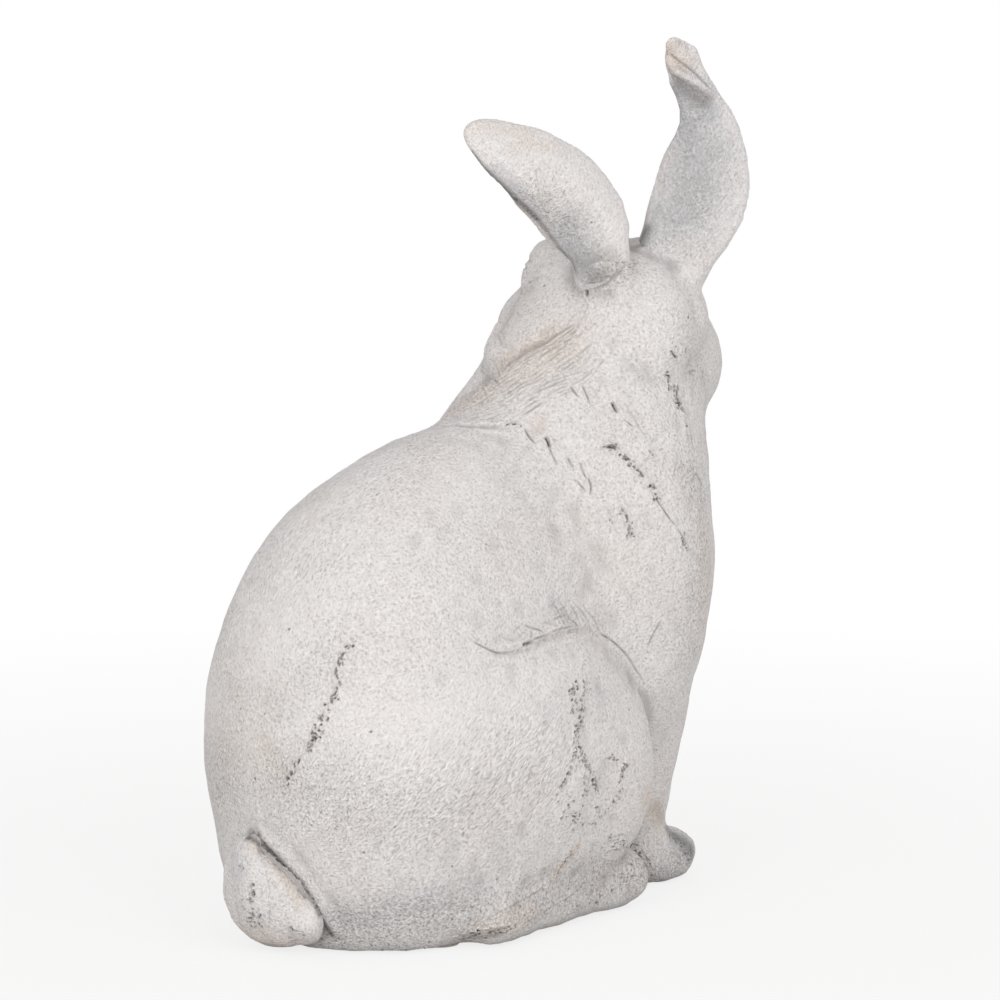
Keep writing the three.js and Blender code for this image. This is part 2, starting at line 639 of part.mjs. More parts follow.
/** One ear with its tenon and dowel, and the socket that they need in the head. side is +1 on the left. */
function earParts(ear, side) {
  const skullPoint = new THREE.Vector3(side * EAR_ROOT.x, EAR_ROOT.y, 0).applyMatrix4(headFrame);
  const lean = radians(EAR_ROOT.lean);
  const up = new THREE.Vector3(0, Math.sin(lean), Math.cos(lean)).transformDirection(headFrame);
  const root = wayOut(skin, skullPoint, up);
  const toWorld = headFrame.clone().setPosition(root);
  const around = new THREE.Vector3().setScalar(2.6 * ear.rootWidth);
  const seat = seatIn(new THREE.Box3().setFromCenterAndSize(root, around));
  const inTenon = EAR_TENON.length + GLUE_GAP;
  const pinFrom = -EAR_TENON.length - EAR_PIN.length / 3;
  const pinTo = pinFrom + EAR_PIN.length;
  const hole = pin(root, up, pinFrom - GLUE_GAP, pinTo + GLUE_GAP, EAR_PIN.diameter + 2 * GLUE_GAP);
  const tenon = pin(root, up, -EAR_TENON.length, 4 * SEAT_GAP, EAR_TENON.diameter);
  return {
    holeEnd: root.clone().addScaledVector(up, pinFrom),
    ear: blade(toWorld, up, ear, side).subtract(seat).add(tenon).subtract(hole),
    dowel: pin(root, up, pinFrom, pinTo, EAR_PIN.diameter),
    socket: pin(root, up, -inTenon, EAR_STEM, EAR_TENON.diameter + 2 * GLUE_GAP).add(hole),
  };
}

/** The tail with its peg, and the socket of the peg. */
function tailParts() {
  const back = new THREE.Vector3(0, 1, 0);
  const root = wayOut(skin, new THREE.Vector3(0, RUMP.y, TAIL_PEG.z), back);
  const tuft = blend(FIRM, ellipsoid(TAIL), ellipsoid(TAIL_TIP));
  const seat = seatIn(tuft.box.clone().expandByScalar(2 * SEAT_GAP));
  const whole = solidOf(simplified(surfaceOf(tuft, TAIL_CELL), TAIL_TRIANGLES));
  const depth = WALL - SOCKET_END;
  const peg = pin(root, back, GLUE_GAP - depth, TAIL.length / 4, TAIL_PEG.diameter);
  return {
    tail: whole.intersect(above(PAD_THICKNESS)).subtract(seat).add(peg),
    socket: pin(root, back, -depth, TAIL.length, TAIL_PEG.diameter + 2 * GLUE_GAP),
  };
}

function pieceOf(name, solid, material) {
  const { vertProperties, triVerts } = solid.getMesh();
  const geometry = new THREE.BufferGeometry();
  geometry.setAttribute('position', new THREE.BufferAttribute(vertProperties, 3));
  geometry.setIndex(new THREE.BufferAttribute(triVerts, 1));
  const mesh = new THREE.Mesh(geometry, material);
  mesh.name = name;
  return mesh;
}

const left = earParts(LEFT_EAR, 1);
const right = earParts(RIGHT_EAR, -1);
const tail = tailParts();

const underside = PAD_THICKNESS;
const hollowFloor = underside + FLOOR;
const hollowBox = trunk.box.clone();
hollowBox.min.z = hollowFloor;
hollowBox.max.z = Math.min(left.holeEnd.z, right.holeEnd.z) - WALL; // the head stays solid round the dowels
const hollowSpace = within(grown(trunk, -WALL), hollowBox);
const hollow = solidOf(simplified(surfaceOf(hollowSpace, CAVITY_CELL), CAVITY_TRIANGLES));
const plateTop = underside + PLATE.thickness;

/** An oval slab that stands out round the closing plate by an amount. */
function roundPlate(out, bottom, top) {
  return oval(PLATE.width + 2 * out, PLATE.length + 2 * out, PLATE.y, bottom, top);
}
const rebate = roundPlate(GLUE_GAP, 0, plateTop + GLUE_GAP);
const castingHole = roundPlate(-PLATE_LEDGE, underside, hollowFloor + CAVITY_CELL);
const casting = solidOf(simplified(surfaceOf(skin, BODY_CELL), BODY_TRIANGLES))
  .intersect(above(underside))
  .subtract(hollow.add(castingHole).add(rebate))
  .subtract(left.socket.add(right.socket).add(tail.socket));

const chalk = new THREE.MeshStandardMaterial({ color: '#d1cdca', roughness: 0.9, metalness: 0 });
const bareResin = new THREE.MeshStandardMaterial({ color: '#c4bdb4', roughness: 0.8, metalness: 0 });
const steel = new THREE.MeshStandardMaterial({ color: '#9a9da1', roughness: 0.35, metalness: 1 });
const felt = new THREE.MeshStandardMaterial({ color: '#b9b2a8', roughness: 1, metalness: 0 });

const rabbit = new THREE.Group();
rabbit.add(pieceOf('body_casting', casting, chalk));
rabbit.add(pieceOf('left_ear', left.ear, chalk));
rabbit.add(pieceOf('right_ear', right.ear, chalk));
rabbit.add(pieceOf('left_ear_pin', left.dowel, steel));
rabbit.add(pieceOf('right_ear_pin', right.dowel, steel));
rabbit.add(pieceOf('tail', tail.tail, chalk));
rabbit.add(pieceOf('base_plate', roundPlate(0, underside, plateTop), bareResin));
const upwards = new THREE.Vector3(0, 0, 1);
for (const [end, pad] of [['front', FRONT_PAD], ['rear', REAR_PAD]])
  for (const [name, side] of [['left', 1], ['right', -1]]) {
    const dot = pin(new THREE.Vector3(side * pad.x, pad.y, 0), upwards, 0, PAD_THICKNESS, PAD_DIAMETER);
    rabbit.add(pieceOf(`felt_pad_${end}_${name}`, dot, felt));
  }

const bounds = new THREE.Box3().setFromObject(rabbit);
const middle = bounds.getCenter(new THREE.Vector3());
for (const piece of rabbit.children) piece.geometry.translate(-middle.x, -middle.y, -bounds.min.z);

export default rabbit;
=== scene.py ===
"""Seated rabbit ornament in cast resin with a chalk wash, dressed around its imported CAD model.

Every piece is in metres in the part's own frame: +Z up, the rabbit sits looking along -Y, +X is its left side.
Sizes and places in this file are in millimetres where a name says so, and MM turns them into metres.
"""

from __future__ import annotations

import json
import logging
import math
from collections.abc import Callable, Iterator, Sequence
from contextlib import contextmanager
from dataclasses import dataclass
from enum import Enum

import bpy
import numpy as np
from mathutils import Euler, Matrix, Vector
from mathutils.bvhtree import BVHTree
from mathutils.kdtree import KDTree

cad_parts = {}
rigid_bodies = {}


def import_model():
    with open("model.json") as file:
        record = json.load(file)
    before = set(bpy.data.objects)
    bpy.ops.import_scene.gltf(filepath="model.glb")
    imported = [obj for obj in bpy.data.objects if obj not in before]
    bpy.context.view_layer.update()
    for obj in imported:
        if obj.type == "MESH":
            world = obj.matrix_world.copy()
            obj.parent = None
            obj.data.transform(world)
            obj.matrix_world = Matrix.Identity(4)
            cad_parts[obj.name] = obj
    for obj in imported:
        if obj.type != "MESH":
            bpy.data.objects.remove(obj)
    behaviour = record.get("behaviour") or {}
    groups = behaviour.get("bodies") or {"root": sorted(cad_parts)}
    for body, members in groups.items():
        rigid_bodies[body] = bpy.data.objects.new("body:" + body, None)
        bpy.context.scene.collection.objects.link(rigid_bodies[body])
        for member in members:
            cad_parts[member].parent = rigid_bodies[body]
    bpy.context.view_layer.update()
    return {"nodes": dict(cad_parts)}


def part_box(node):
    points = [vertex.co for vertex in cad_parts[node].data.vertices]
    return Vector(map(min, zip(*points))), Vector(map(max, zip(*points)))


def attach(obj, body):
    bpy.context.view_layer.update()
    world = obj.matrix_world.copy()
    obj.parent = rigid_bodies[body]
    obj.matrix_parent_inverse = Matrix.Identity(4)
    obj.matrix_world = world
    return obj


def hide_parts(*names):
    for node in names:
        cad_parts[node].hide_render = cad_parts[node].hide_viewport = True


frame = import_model()

logging.basicConfig(level=logging.INFO, format="%(message)s")
log = logging.getLogger("rabbit")

MM = 0.001
ROOT = "root"
IMAGE = 1000  # width and height of the picture, in pixels

Point = Sequence[float]
Pixels = Sequence[tuple[float, float]]  # places in the picture
Array = np.ndarray


class Side(Enum):
    """The rabbit's own left and right, as the sign of x."""

    LEFT = 1
    RIGHT = -1


class Tint(Enum):
    """The mesh attributes that the resin's finish reads."""

    WASH = "wash"  # dirt in creases, and painted shade under the ears' rims, at their feet and near the floor
    WARM = "warm"  # beige where the chalk is thin
    COOL = "cool"  # grey where the wash was left, and painted shade under the ears' rims, at their feet and near the floor
    FUR = "fur"  # how much the grain runs along the fur
    GRAIN = "grain"  # how coarse the grain stands out


# ---------------------------------------------------------------- places


PAD_ROW = -103.0  # millimetres along y where the front pads stand in the modelling frame


def source_shift() -> Vector:
    """How far the part's frame lies from the modelling frame."""
    low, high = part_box("felt_pad_front_left")
    return Vector((0.0, (low.y + high.y) / 2 - PAD_ROW * MM, 0.0))


SHIFT = source_shift()


@dataclass(frozen=True)
class Viewpoint:
    """Where the camera stands, and which point of the rabbit it has at which pixel."""

    azimuth: float = 225.0
    elevation: float = 7.5
    distance: float = 1.5
    focal: float = 4035.0  # focal length in pixels of a 1000 pixel frame
    aim: tuple[float, float, float] = (0.0, 0.0, 0.150)
    pixel: tuple[float, float] = (430.0, 518.0)

    def back(self) -> Vector:
        """The direction from the aim to the camera."""
        a, e = math.radians(self.azimuth), math.radians(self.elevation)
        return Vector((math.sin(a) * math.cos(e), -math.cos(a) * math.cos(e), math.sin(e)))

    def place(self) -> Vector:
        """The camera's place."""
        return Vector(self.aim) + SHIFT + self.back() * self.distance

    def seen(self, x: float, y: float) -> Vector:
        """The direction of a pixel in the camera's own frame."""
        return Vector(((x - IMAGE / 2) / self.focal, (IMAGE / 2 - y) / self.focal, -1.0)).normalized()

    def turn(self) -> Matrix:
        """The camera's rotation: level, and with the aim at its pixel."""
        level = self.back().to_track_quat("Z", "Y").to_matrix()
        nudge = self.seen(*self.pixel).rotation_difference(Vector((0.0, 0.0, -1.0)))
        return level @ nudge.to_matrix()

    def ray(self, x: float, y: float) -> Vector:
        """The direction of a pixel in the part's frame."""
        return self.turn() @ self.seen(x, y)


VIEW = Viewpoint()


@dataclass(frozen=True)
class HeadFrame:
    """The head's own frame: origin at the top of the neck, face along -Y, as the part's source turns it."""

    place: tuple[float, float, float] = (-9.0, -89.0, 221.0)
    turn: float = 78.0
    nod: float = -8.0
    tilt: float = 2.0

    def rotation(self) -> Matrix:
        """The head's rotation in the part's frame."""
        angles = (math.radians(self.nod), math.radians(self.tilt), math.radians(self.turn))
        return Euler(angles, "XYZ").to_matrix()

    def world(self, x: float, y: float, z: float) -> Vector:
        """A point of the head, given in millimetres in its own frame."""
        return self.rotation() @ (Vector((x, y, z)) * MM) + Vector(self.place) * MM + SHIFT

    def direction(self, x: float, y: float, z: float) -> Vector:
        """A direction of the head's frame in the part's frame."""
        return (self.rotation() @ Vector((x, y, z))).normalized()

    def local(self, points: Array) -> Array:
        """Points of the part's frame in the head's own frame, in millimetres."""
        origin = np.array(Vector(self.place) * MM + SHIFT)
        return (points - origin) @ np.array(self.rotation()) / MM


HEAD = HeadFrame()


# ---------------------------------------------------------------- working with meshes


def deselect() -> None:
    """Leaves nothing selected."""
    bpy.ops.object.select_all(action="DESELECT")


def activate(obj: bpy.types.Object) -> None:
    """Selects one object and makes it the active one."""
    deselect()
    obj.hide_viewport = False
    obj.select_set(True)
    bpy.context.view_layer.objects.active = obj


@contextmanager
def editing(obj: bpy.types.Object, select: str = "SELECT", mode: str = "VERT") -> Iterator[None]:
    """Opens a mesh in edit mode for the operators of one with block.

    Args:
        obj: The mesh object.
        select: SELECT or DESELECT for all of it, or KEEP to leave the selection as it was made in code.
        mode: VERT, EDGE or FACE, what is selected.

    Yields:
        Nothing. The mesh is back in object mode after the block.
    """
    activate(obj)
    bpy.ops.object.mode_set(mode="EDIT")
    if select != "KEEP":
        bpy.ops.mesh.select_mode(type=mode)
        bpy.ops.mesh.select_all(action=select)
    yield
    bpy.ops.object.mode_set(mode="OBJECT")


def settle(obj: bpy.types.Object) -> None:
    """Puts an object's place, turn and scale into its mesh."""
    activate(obj)
    bpy.ops.object.transform_apply(location=True, rotation=True, scale=True)


def apply_modifier(obj: bpy.types.Object, kind: str, **settings: object) -> None:
    """Adds a modifier with its settings and applies it.

    Args:
        obj: The mesh object.
        kind: Blender's name for the modifier.
        **settings: The modifier's properties.
    """
    activate(obj)
    modifier = obj.modifiers.new(kind.title(), kind)
    for name, value in settings.items():
        setattr(modifier, name, value)
    bpy.ops.object.modifier_apply(modifier=modifier.name)


def copy_of(node: str, name: str) -> bpy.types.Object:
    """A free copy of a CAD node with its loose triangles joined.

    Args:
        node: The CAD node's name.
        name: The copy's name.

    Returns:
        The copy, riding on nothing yet.
    """
    activate(frame["nodes"][node])
    bpy.ops.object.duplicate(linked=False)
    obj = bpy.context.active_object
    obj.name = obj.data.name = name
    obj.parent = None
    for key in list(obj.keys()):
        del obj[key]
    obj.data.materials.clear()
    with editing(obj):
        bpy.ops.mesh.remove_doubles(threshold=1e-6)
    return obj


def remesh(obj: bpy.types.Object, voxel: float) -> None:
    """Meshes a closed form evenly.

    Args:
        obj: The mesh object.
        voxel: The facets' size in millimetres.
    """
    size = voxel * 1.0
    apply_modifier(obj, "REMESH", mode="VOXEL", voxel_size=size * MM, adaptivity=0.0)


def join(base: bpy.types.Object, *others: bpy.types.Object) -> None:
    """Joins other mesh objects into the base."""
    activate(base)
    for other in others:
        other.select_set(True)
    bpy.ops.object.join()


def keep_outer_shell(obj: bpy.types.Object) -> None:
    """Deletes every shell of a mesh but the one that its topmost point is on."""
    with editing(obj, "DESELECT"):
        pass
    top = int(np.argmax(coordinates(obj)[:, 2]))
    obj.data.vertices[top].select = True
    with editing(obj, "KEEP"):
        bpy.ops.mesh.select_linked()
        bpy.ops.mesh.select_all(action="INVERT")
        bpy.ops.mesh.delete(type="VERT")


def coordinates(obj: bpy.types.Object) -> Array:
    """The mesh's points as an array of n rows."""
    flat = np.empty(len(obj.data.vertices) * 3)
    obj.data.vertices.foreach_get("co", flat)
    return flat.reshape(-1, 3)


def place_points(obj: bpy.types.Object, points: Array) -> None:
    """Moves the mesh's points to new places."""
    obj.data.vertices.foreach_set("co", points.astype(np.float32).ravel())
    obj.data.update()


def thin_out(obj: bpy.types.Object, triangles: int) -> None:
    """Brings a mesh down to a number of triangles, the flattest places first."""
    count = sum(len(polygon.vertices) - 2 for polygon in obj.data.polygons)
    if count > triangles:
        apply_modifier(obj, "DECIMATE", decimate_type="COLLAPSE", ratio=triangles / count)


def smooth_step(values: Array, low: float, high: float) -> Array:
    """A soft step from 0 at low to 1 at high."""
    t = np.clip((values - low) / (high - low), 0.0, 1.0)
    return t * t * (3 - 2 * t)


class Neighbours:
    """Which points of a mesh share an edge."""

    def __init__(self, mesh: bpy.types.Mesh) -> None:
        """Reads the mesh's edges."""
        ends = np.empty(len(mesh.edges) * 2, dtype=np.int64)
        mesh.edges.foreach_get("vertices", ends)
        self.count = len(mesh.vertices)
        self.a, self.b = ends[0::2], ends[1::2]
        self.share = 1.0 / np.maximum(np.bincount(ends, minlength=self.count), 1)

    def mean(self, points: Array) -> Array:
        """The mean place of each point's neighbours."""
        total = np.empty_like(points)
        for axis in range(3):
            total[:, axis] = np.bincount(self.a, points[self.b, axis], self.count)
            total[:, axis] += np.bincount(self.b, points[self.a, axis], self.count)
        return total * self.share[:, None]


def relax(obj: bpy.types.Object, rounds: int, free: Array | None = None, swell: float = 0.515) -> None:
    """Evens out a mesh's facets. Each round smooths, then swells back, so that the form isn't drawn in.

    Args:
        obj: The mesh object.
        rounds: How many rounds to make.
        free: A weight for each point, 0 where it stays, or None for all free.
        swell: How strongly each round swells back, or 0 to let hollow corners fill up.
    """
    points = coordinates(obj)
    neighbours = Neighbours(obj.data)
    weight = np.ones(len(points)) if free is None else free
    for _ in range(rounds):
        for strength in (0.5, -swell) if swell else (0.5,):
            points = points + (weight * strength)[:, None] * (neighbours.mean(points) - points)
    place_points(obj, points)


def rounded_path(points: Array, spacing: float) -> Array:
    """A smooth curve through a few points, with a point at about each spacing.

    Args:
        points: The points to pass through, as rows.
        spacing: The distance between the curve's points, in metres.

    Returns:
        The curve's points as rows.
    """
    if len(points) < 3:
        steps = max(int(np.linalg.norm(points[-1] - points[0]) / spacing), 1)
        return points[0] + np.linspace(0, 1, steps + 1)[:, None] * (points[-1] - points[0])
    padded = np.vstack([2 * points[0] - points[1], points, 2 * points[-1] - points[-2]])
    out = []
    for p0, p1, p2, p3 in zip(padded, padded[1:], padded[2:], padded[3:]):
        steps = max(int(np.linalg.norm(p2 - p1) / spacing), 1)
        t = np.linspace(0, 1, steps, endpoint=False)[:, None]
        square, cube = 2 * p0 - 5 * p1 + 4 * p2 - p3, 3 * p1 - p0 - 3 * p2 + p3
        out.append(0.5 * (2 * p1 + (p2 - p0) * t + square * t**2 + cube * t**3))
    return np.vstack([*out, points[-1:]])


# ---------------------------------------------------------------- carving the relief


@dataclass(frozen=True)
class Tool:
    """A modelling tool's mark, in millimetres.

    width is half the groove's width, depth how deep it cuts, lip how far its edges are thrown up,
    wash how dark the wash lies in it, and ragged how unevenly the tool was pressed.
    """

    width: float
    depth: float
    lip: float = 0.0
    wash: float = 0.0
    ragged: float = 0.0

    def pressed(self, press: float) -> Tool:
        """The mark of the same tool held more lightly, as a share of its full press."""
        return Tool(self.width, self.depth * press, self.lip * press, self.wash * press, self.ragged)


Patch = tuple[Tint, Pixels, float, float]


class Relief:
    """A dense skin whose points are moved as a modeller's tools would, with the tints that the finish reads."""

    def __init__(self, obj: bpy.types.Object, seed: int) -> None:
        """Reads the skin as it is before any mark.

        Args:
            obj: The mesh object.
            seed: The seed of all random choices on it.
        """
        self.obj = obj
        self.random = np.random.default_rng(seed)
        self.read()

    def read(self) -> None:
        """Reads the skin's points afresh, with no mark on them."""
        self.points = coordinates(self.obj)
        normals = np.empty(len(self.points) * 3)
        self.obj.data.vertex_normals.foreach_get("vector", normals)
        self.normals = normals.reshape(-1, 3)
        self.raised = np.zeros(len(self.points))
        self.tints = {tint: np.zeros(len(self.points)) for tint in Tint}
        faces = [tuple(polygon.vertices) for polygon in self.obj.data.polygons]
        self.tree = BVHTree.FromPolygons(self.points.tolist(), faces)
        self.order = np.argsort(self.points[:, 2])
        self.heights = self.points[self.order, 2]

    def refine(self, lines: Sequence[Array], reach: float) -> None:
        """Halves the facets near some lines, so that fine marks hold there. It comes before any mark.

        Args:
            lines: The lines, each as rows of points.
            reach: How far from them, in millimetres.
        """
        chosen = np.zeros(len(self.points), dtype=bool)
        for line in lines:
            if len(line) > 1:
                chosen[self.around(line, reach * MM)[0]] = True
        with editing(self.obj, "DESELECT"):
            pass
        self.obj.data.vertices.foreach_set("select", chosen)
        with editing(self.obj, "KEEP"):
            bpy.ops.mesh.subdivide(number_cuts=1)
        self.read()

    def struck(self, origin: Vector, direction: Vector) -> Vector | None:
        """The first point of the skin along a ray, or None."""
        return self.tree.ray_cast(origin, direction)[0]

    def nearest(self, point: Point) -> Vector:
        """The skin's nearest point."""
        return self.tree.find_nearest(Vector(point))[0]

    def drawn(self, pixels: Sequence[tuple[float, float]]) -> Array:
        """A line on the skin where the picture shows it.

        Args:
            pixels: The line's points in the picture.

        Returns:
            The points on the skin, as rows. Those that miss it are left out.
        """
        struck = [self.struck(VIEW.place(), VIEW.ray(x, y)) for x, y in pixels]
        return np.array([tuple(p) for p in struck if p is not None]).reshape(-1, 3)

    def mirrored(self, line: Array) -> Array:
        """The same line on the rabbit's other side, laid on the skin there."""
        return np.array([tuple(self.nearest((-x, y, z))) for x, y, z in line]).reshape(-1, 3)

    def around(self, line: Array, reach: float) -> tuple[Array, Array, Array]:
        """The points near a line.

        Args:
            line: The line's points, as rows.
            reach: How far to look, in metres.

        Returns:
            The points' indices, their distances from the line, and how far along it each one lies, from 0 to 1.
        """
        low, high = line.min(0) - reach, line.max(0) + reach
        first, last = np.searchsorted(self.heights, (low[2], high[2]))
        index = self.order[first:last]
        close = self.points[index]
        inside = np.all((close > low) & (close < high), axis=1)
        index, close = index[inside], close[inside]
        best = np.full(len(index), np.inf)
        along = np.zeros(len(index))
        lengths = np.linalg.norm(np.diff(line, axis=0), axis=1)
        total = max(lengths.sum(), 1e-9)
        run = 0.0
        for start, end, length in zip(line, line[1:], lengths):
            step = end - start
            t = np.clip((close - start) @ step / max(length * length, 1e-18), 0.0, 1.0)
            distance = np.linalg.norm(close - start - t[:, None] * step, axis=1)
            nearer = distance < best
            best[nearer] = distance[nearer]
            along[nearer] = (run + t[nearer] * length) / total
            run += length
        keep = best < reach
        return index[keep], best[keep], along[keep]

    def carve(self, line: Array, tool: Tool, closed: bool = False) -> None:
        """Draws a tool along a line on the skin.

        Args:
            line: The line's points, as rows, in metres.
            tool: The tool's mark.
            closed: Whether the line is a ring, which doesn't fade at its ends.
        """
        if len(line) < 2:
            return
        line = rounded_path(line, 1.2 * MM)
        width = tool.width * MM
        index, distance, along = self.around(line, 3.2 * width)
        fade = np.ones_like(along) if closed else np.clip(np.minimum(along / 0.15, (1 - along) / 0.3), 0, 1) ** 0.7
        if tool.ragged:
            knots = self.random.uniform(1 - tool.ragged, 1, 2 + int(len(line) * 0.6))
            fade = fade * np.interp(along, np.linspace(0, 1, len(knots)), knots)
        groove = np.exp(-1.6 * (distance / width) ** 2)
        lips = np.exp(-(((distance / width - 1.7) / 0.55) ** 2))
        self.raised[index] += fade * MM * (tool.lip * lips - tool.depth * groove)
        self.darken(index, fade * tool.wash * groove)

    def darken(self, index: Array, amount: Array) -> None:
        """Lays wash, or painted shade, on some points, never thinner than what is there."""
        wash = self.tints[Tint.WASH]
        wash[index] = np.maximum(wash[index], amount)

    def shatter(self, line: Array, radius: float, density: float, tool: Tool) -> None:
        """Breaks a crack open along a line, as many short splits beside and behind each other.

        Args:
            line: The line's points, as rows, in metres.
            radius: How far the splits stray from it, in millimetres.
            density: The number of splits for each millimetre.
            tool: The mark of one split.
        """
        if len(line) < 2:
            return
        line = rounded_path(line, 0.5 * MM)
        count = max(int(density * len(line) / 2), 2)
        for start in self.random.integers(0, len(line) - 1, count):
            way = Vector(line[min(start + 3, len(line) - 1)] - line[max(start - 3, 0)]).normalized()
            point = Vector(line[start]) + Vector(self.random.normal(0, radius * MM, 3))
            way = (way + Vector(self.random.normal(0, 0.45, 3))).normalized()
            reach = self.random.uniform(0.3, 1.0) * MM
            split = [tuple(self.nearest(point + way * reach * k)) for k in (-1, 0, 1)]
            press = self.random.uniform(0.25, 1.0)
            mark = Tool(tool.width * press, tool.depth * press, tool.lip, tool.wash * press**0.5)
            self.carve(np.array(split), mark)

    def pit(self, centre: Point, tool: Tool) -> None:
        """Presses a small hole at a point of the skin."""
        self.carve(np.array([centre, Vector(centre) + Vector((0.0, 0.0, 0.05 * MM))]), tool, closed=True)

    def swell(self, line: Array, radius: float, height: float) -> None:
        """Builds the skin up, or lowers it, round a line, softly out to a radius. Both are in millimetres."""
        index, distance, _ = self.around(line, radius * MM)
        self.raised[index] += height * MM * (1 - smooth_step(distance, 0.0, radius * MM))

    def stain(self, tint: Tint, line: Array, radius: float, amount: float) -> None:
        """Tints the skin round a line, softly out to a radius in millimetres."""
        index, distance, _ = self.around(line, radius * MM)
        share = amount * (1 - smooth_step(distance, 0.0, radius * MM))
        self.tints[tint][index] = np.maximum(self.tints[tint][index], share)

    def paint(self, patches: Sequence[Patch], mirror_below: float = 0.0) -> None:
        """Lays tints on the skin where the picture shows them.

        Args:
            patches: Each tint with its line in the picture, its radius in millimetres and its amount.
            mirror_below: Lines that lie all below this height, in millimetres, come on the other side too.
        """
        for tint, pixels, radius, amount in patches:
            line = self.drawn(pixels)
            if len(line) > 1:
                self.stain(tint, line, radius, amount)
                if line[:, 2].max() < mirror_below * MM:
                    self.stain(tint, self.mirrored(line), radius, amount)

    def comb(
        self,
        count: int,
        region: Callable[[Array], Array],
        flow: Callable[[Vector], Vector],
        tool: Tool,
        length: tuple[float, float],
        stray: float = 0.25,
    ) -> None:
        """Scatters short fur strokes over a region, each following the way the fur lies.

        Args:
            count: The number of strokes.
            region: Gives each point's chance of a stroke, from 0 to 1.
            flow: Gives the fur's direction at a point.
            tool: The mark of one stroke.
            length: The shortest and longest stroke, in millimetres.
            stray: How far a stroke may turn from the flow, as a share of it.
        """
        chance = region(self.points)
        total = chance.sum()
        if total <= 0:
            return
        before = self.raised.copy()
        starts = self.random.choice(len(self.points), count, p=chance / total)
        for start in starts:
            reach = self.random.uniform(*length)
            press = self.random.uniform(0.5, 1.0)
            point = Vector(self.points[start])
            bias = Vector(self.random.normal(0.0, stray, 3))
            steps = max(int(reach / 1.5), 2)
            line = [tuple(point)]
            for _ in range(steps):
                spot, normal, _, _ = self.tree.find_nearest(point)
                way = flow(spot) + bias
                way = (way - normal * way.dot(normal)).normalized()
                point = self.nearest(spot + way * (reach * MM / steps))
                line.append(tuple(point))
            self.carve(np.array(line), tool.pressed(press))
        stroke = np.clip(self.raised - before, -1.5 * tool.depth * MM, 1.5 * tool.lip * MM)
        self.raised = before + stroke

    def unevenness(self, size: float, height: float) -> None:
        """Gives the skin the slow unevenness of a hand-modelled form: a few waves that cross each other.

        Args:
            size: The waves' length in millimetres.
            height: Their height in millimetres.
        """
        total = np.zeros(len(self.points))
        for _ in range(9):
            way = self.random.normal(size=3)
            way *= 2 * math.pi / (np.linalg.norm(way) * size * MM * self.random.uniform(0.6, 1.7))
            total += np.sin(self.points @ way + self.random.uniform(0, 2 * math.pi))
        self.raised += total * height * MM / 3

    def moved(self) -> Array:
        """The skin's points with all marks so far."""
        return self.points + self.normals * self.raised[:, None]

    def soak(self, size: float, strength: float) -> None:
        """Lets wash gather in hollows, where the skin lies below the average of what is round it.

        Args:
            size: How far round is looked at, in millimetres.
            strength: How much wash a hollow of a tenth of that depth takes.
        """
        neighbours = Neighbours(self.obj.data)
        moved = self.moved()
        step = np.linalg.norm(moved[neighbours.a] - moved[neighbours.b], axis=1).mean()
        soft = moved.copy()
        for _ in range(max(int((size * MM / step) ** 2), 1)):
            soft = 0.4 * soft + 0.6 * neighbours.mean(soft)
        depth = np.einsum("ij,ij->i", soft - moved, self.normals) / (0.1 * size * MM)
        wash = self.tints[Tint.WASH]
        self.tints[Tint.WASH] = np.clip(np.maximum(wash, strength * np.clip(depth, 0, 1)), 0, 1)

    def finish(self, triangles: int) -> None:
        """Moves the points, thins the mesh out to a number of triangles and stores the tints on it."""
        moved = self.moved()
        place_points(self.obj, moved)
        thin_out(self.obj, triangles)
        lookup = KDTree(len(moved))
        for number, point in enumerate(moved):
            lookup.insert(point, number)
        lookup.balance()
        nearest = np.array([lookup.find(vertex.co)[1] for vertex in self.obj.data.vertices])
        for tint, values in self.tints.items():
            attribute = self.obj.data.attributes.new(tint.value, "FLOAT", "POINT")
            attribute.data.foreach_set("value", values[nearest].astype(np.float32))
        activate(self.obj)
        bpy.ops.object.shade_smooth()


# ---------------------------------------------------------------- finishes


def linear(code: str) -> tuple[float, float, float, float]:
    """An sRGB hex colour as linear light.

    Args:
        code: Six hex digits after a hash.

    Returns:
        Red, green, blue and an alpha of 1.
    """
    parts = [int(code[k : k + 2], 16) / 255 for k in (1, 3, 5)]
    red, green, blue = (c / 12.92 if c <= 0.04045 else ((c + 0.055) / 1.055) ** 2.4 for c in parts)
    return red, green, blue, 1.0


def add_node(
    tree: bpy.types.NodeTree,
    kind: str,
    inputs: dict[str | int, object] | None = None,
    take: str | int = 0,
    **settings: object,
) -> bpy.types.NodeSocket | None:
    """Adds a node with its settings, and links or sets its inputs.

    Args:
        tree: The node tree.
        kind: Blender's name for the node, without the shader nodes' prefix.
        inputs: Input name or number to a socket to link from, or to a plain value.
        take: The name or number of the output to hand back.
        **settings: The node's properties.

    Returns:
        The output asked for, or None where the node has none.
    """
    node = tree.nodes.new(f"ShaderNode{kind}")
    for name, value in settings.items():
        setattr(node, name, value)
    for key, value in (inputs or {}).items():
        if isinstance(value, bpy.types.NodeSocket):
            tree.links.new(value, node.inputs[key])
        else:
            node.inputs[key].default_value = value
    return node.outputs[take] if node.outputs else None


def new_material(name: str) -> bpy.types.Material:
    """An empty node material."""
    material = bpy.data.materials.new(name)
    material.use_nodes = True
    material.node_tree.nodes.clear()
    return material


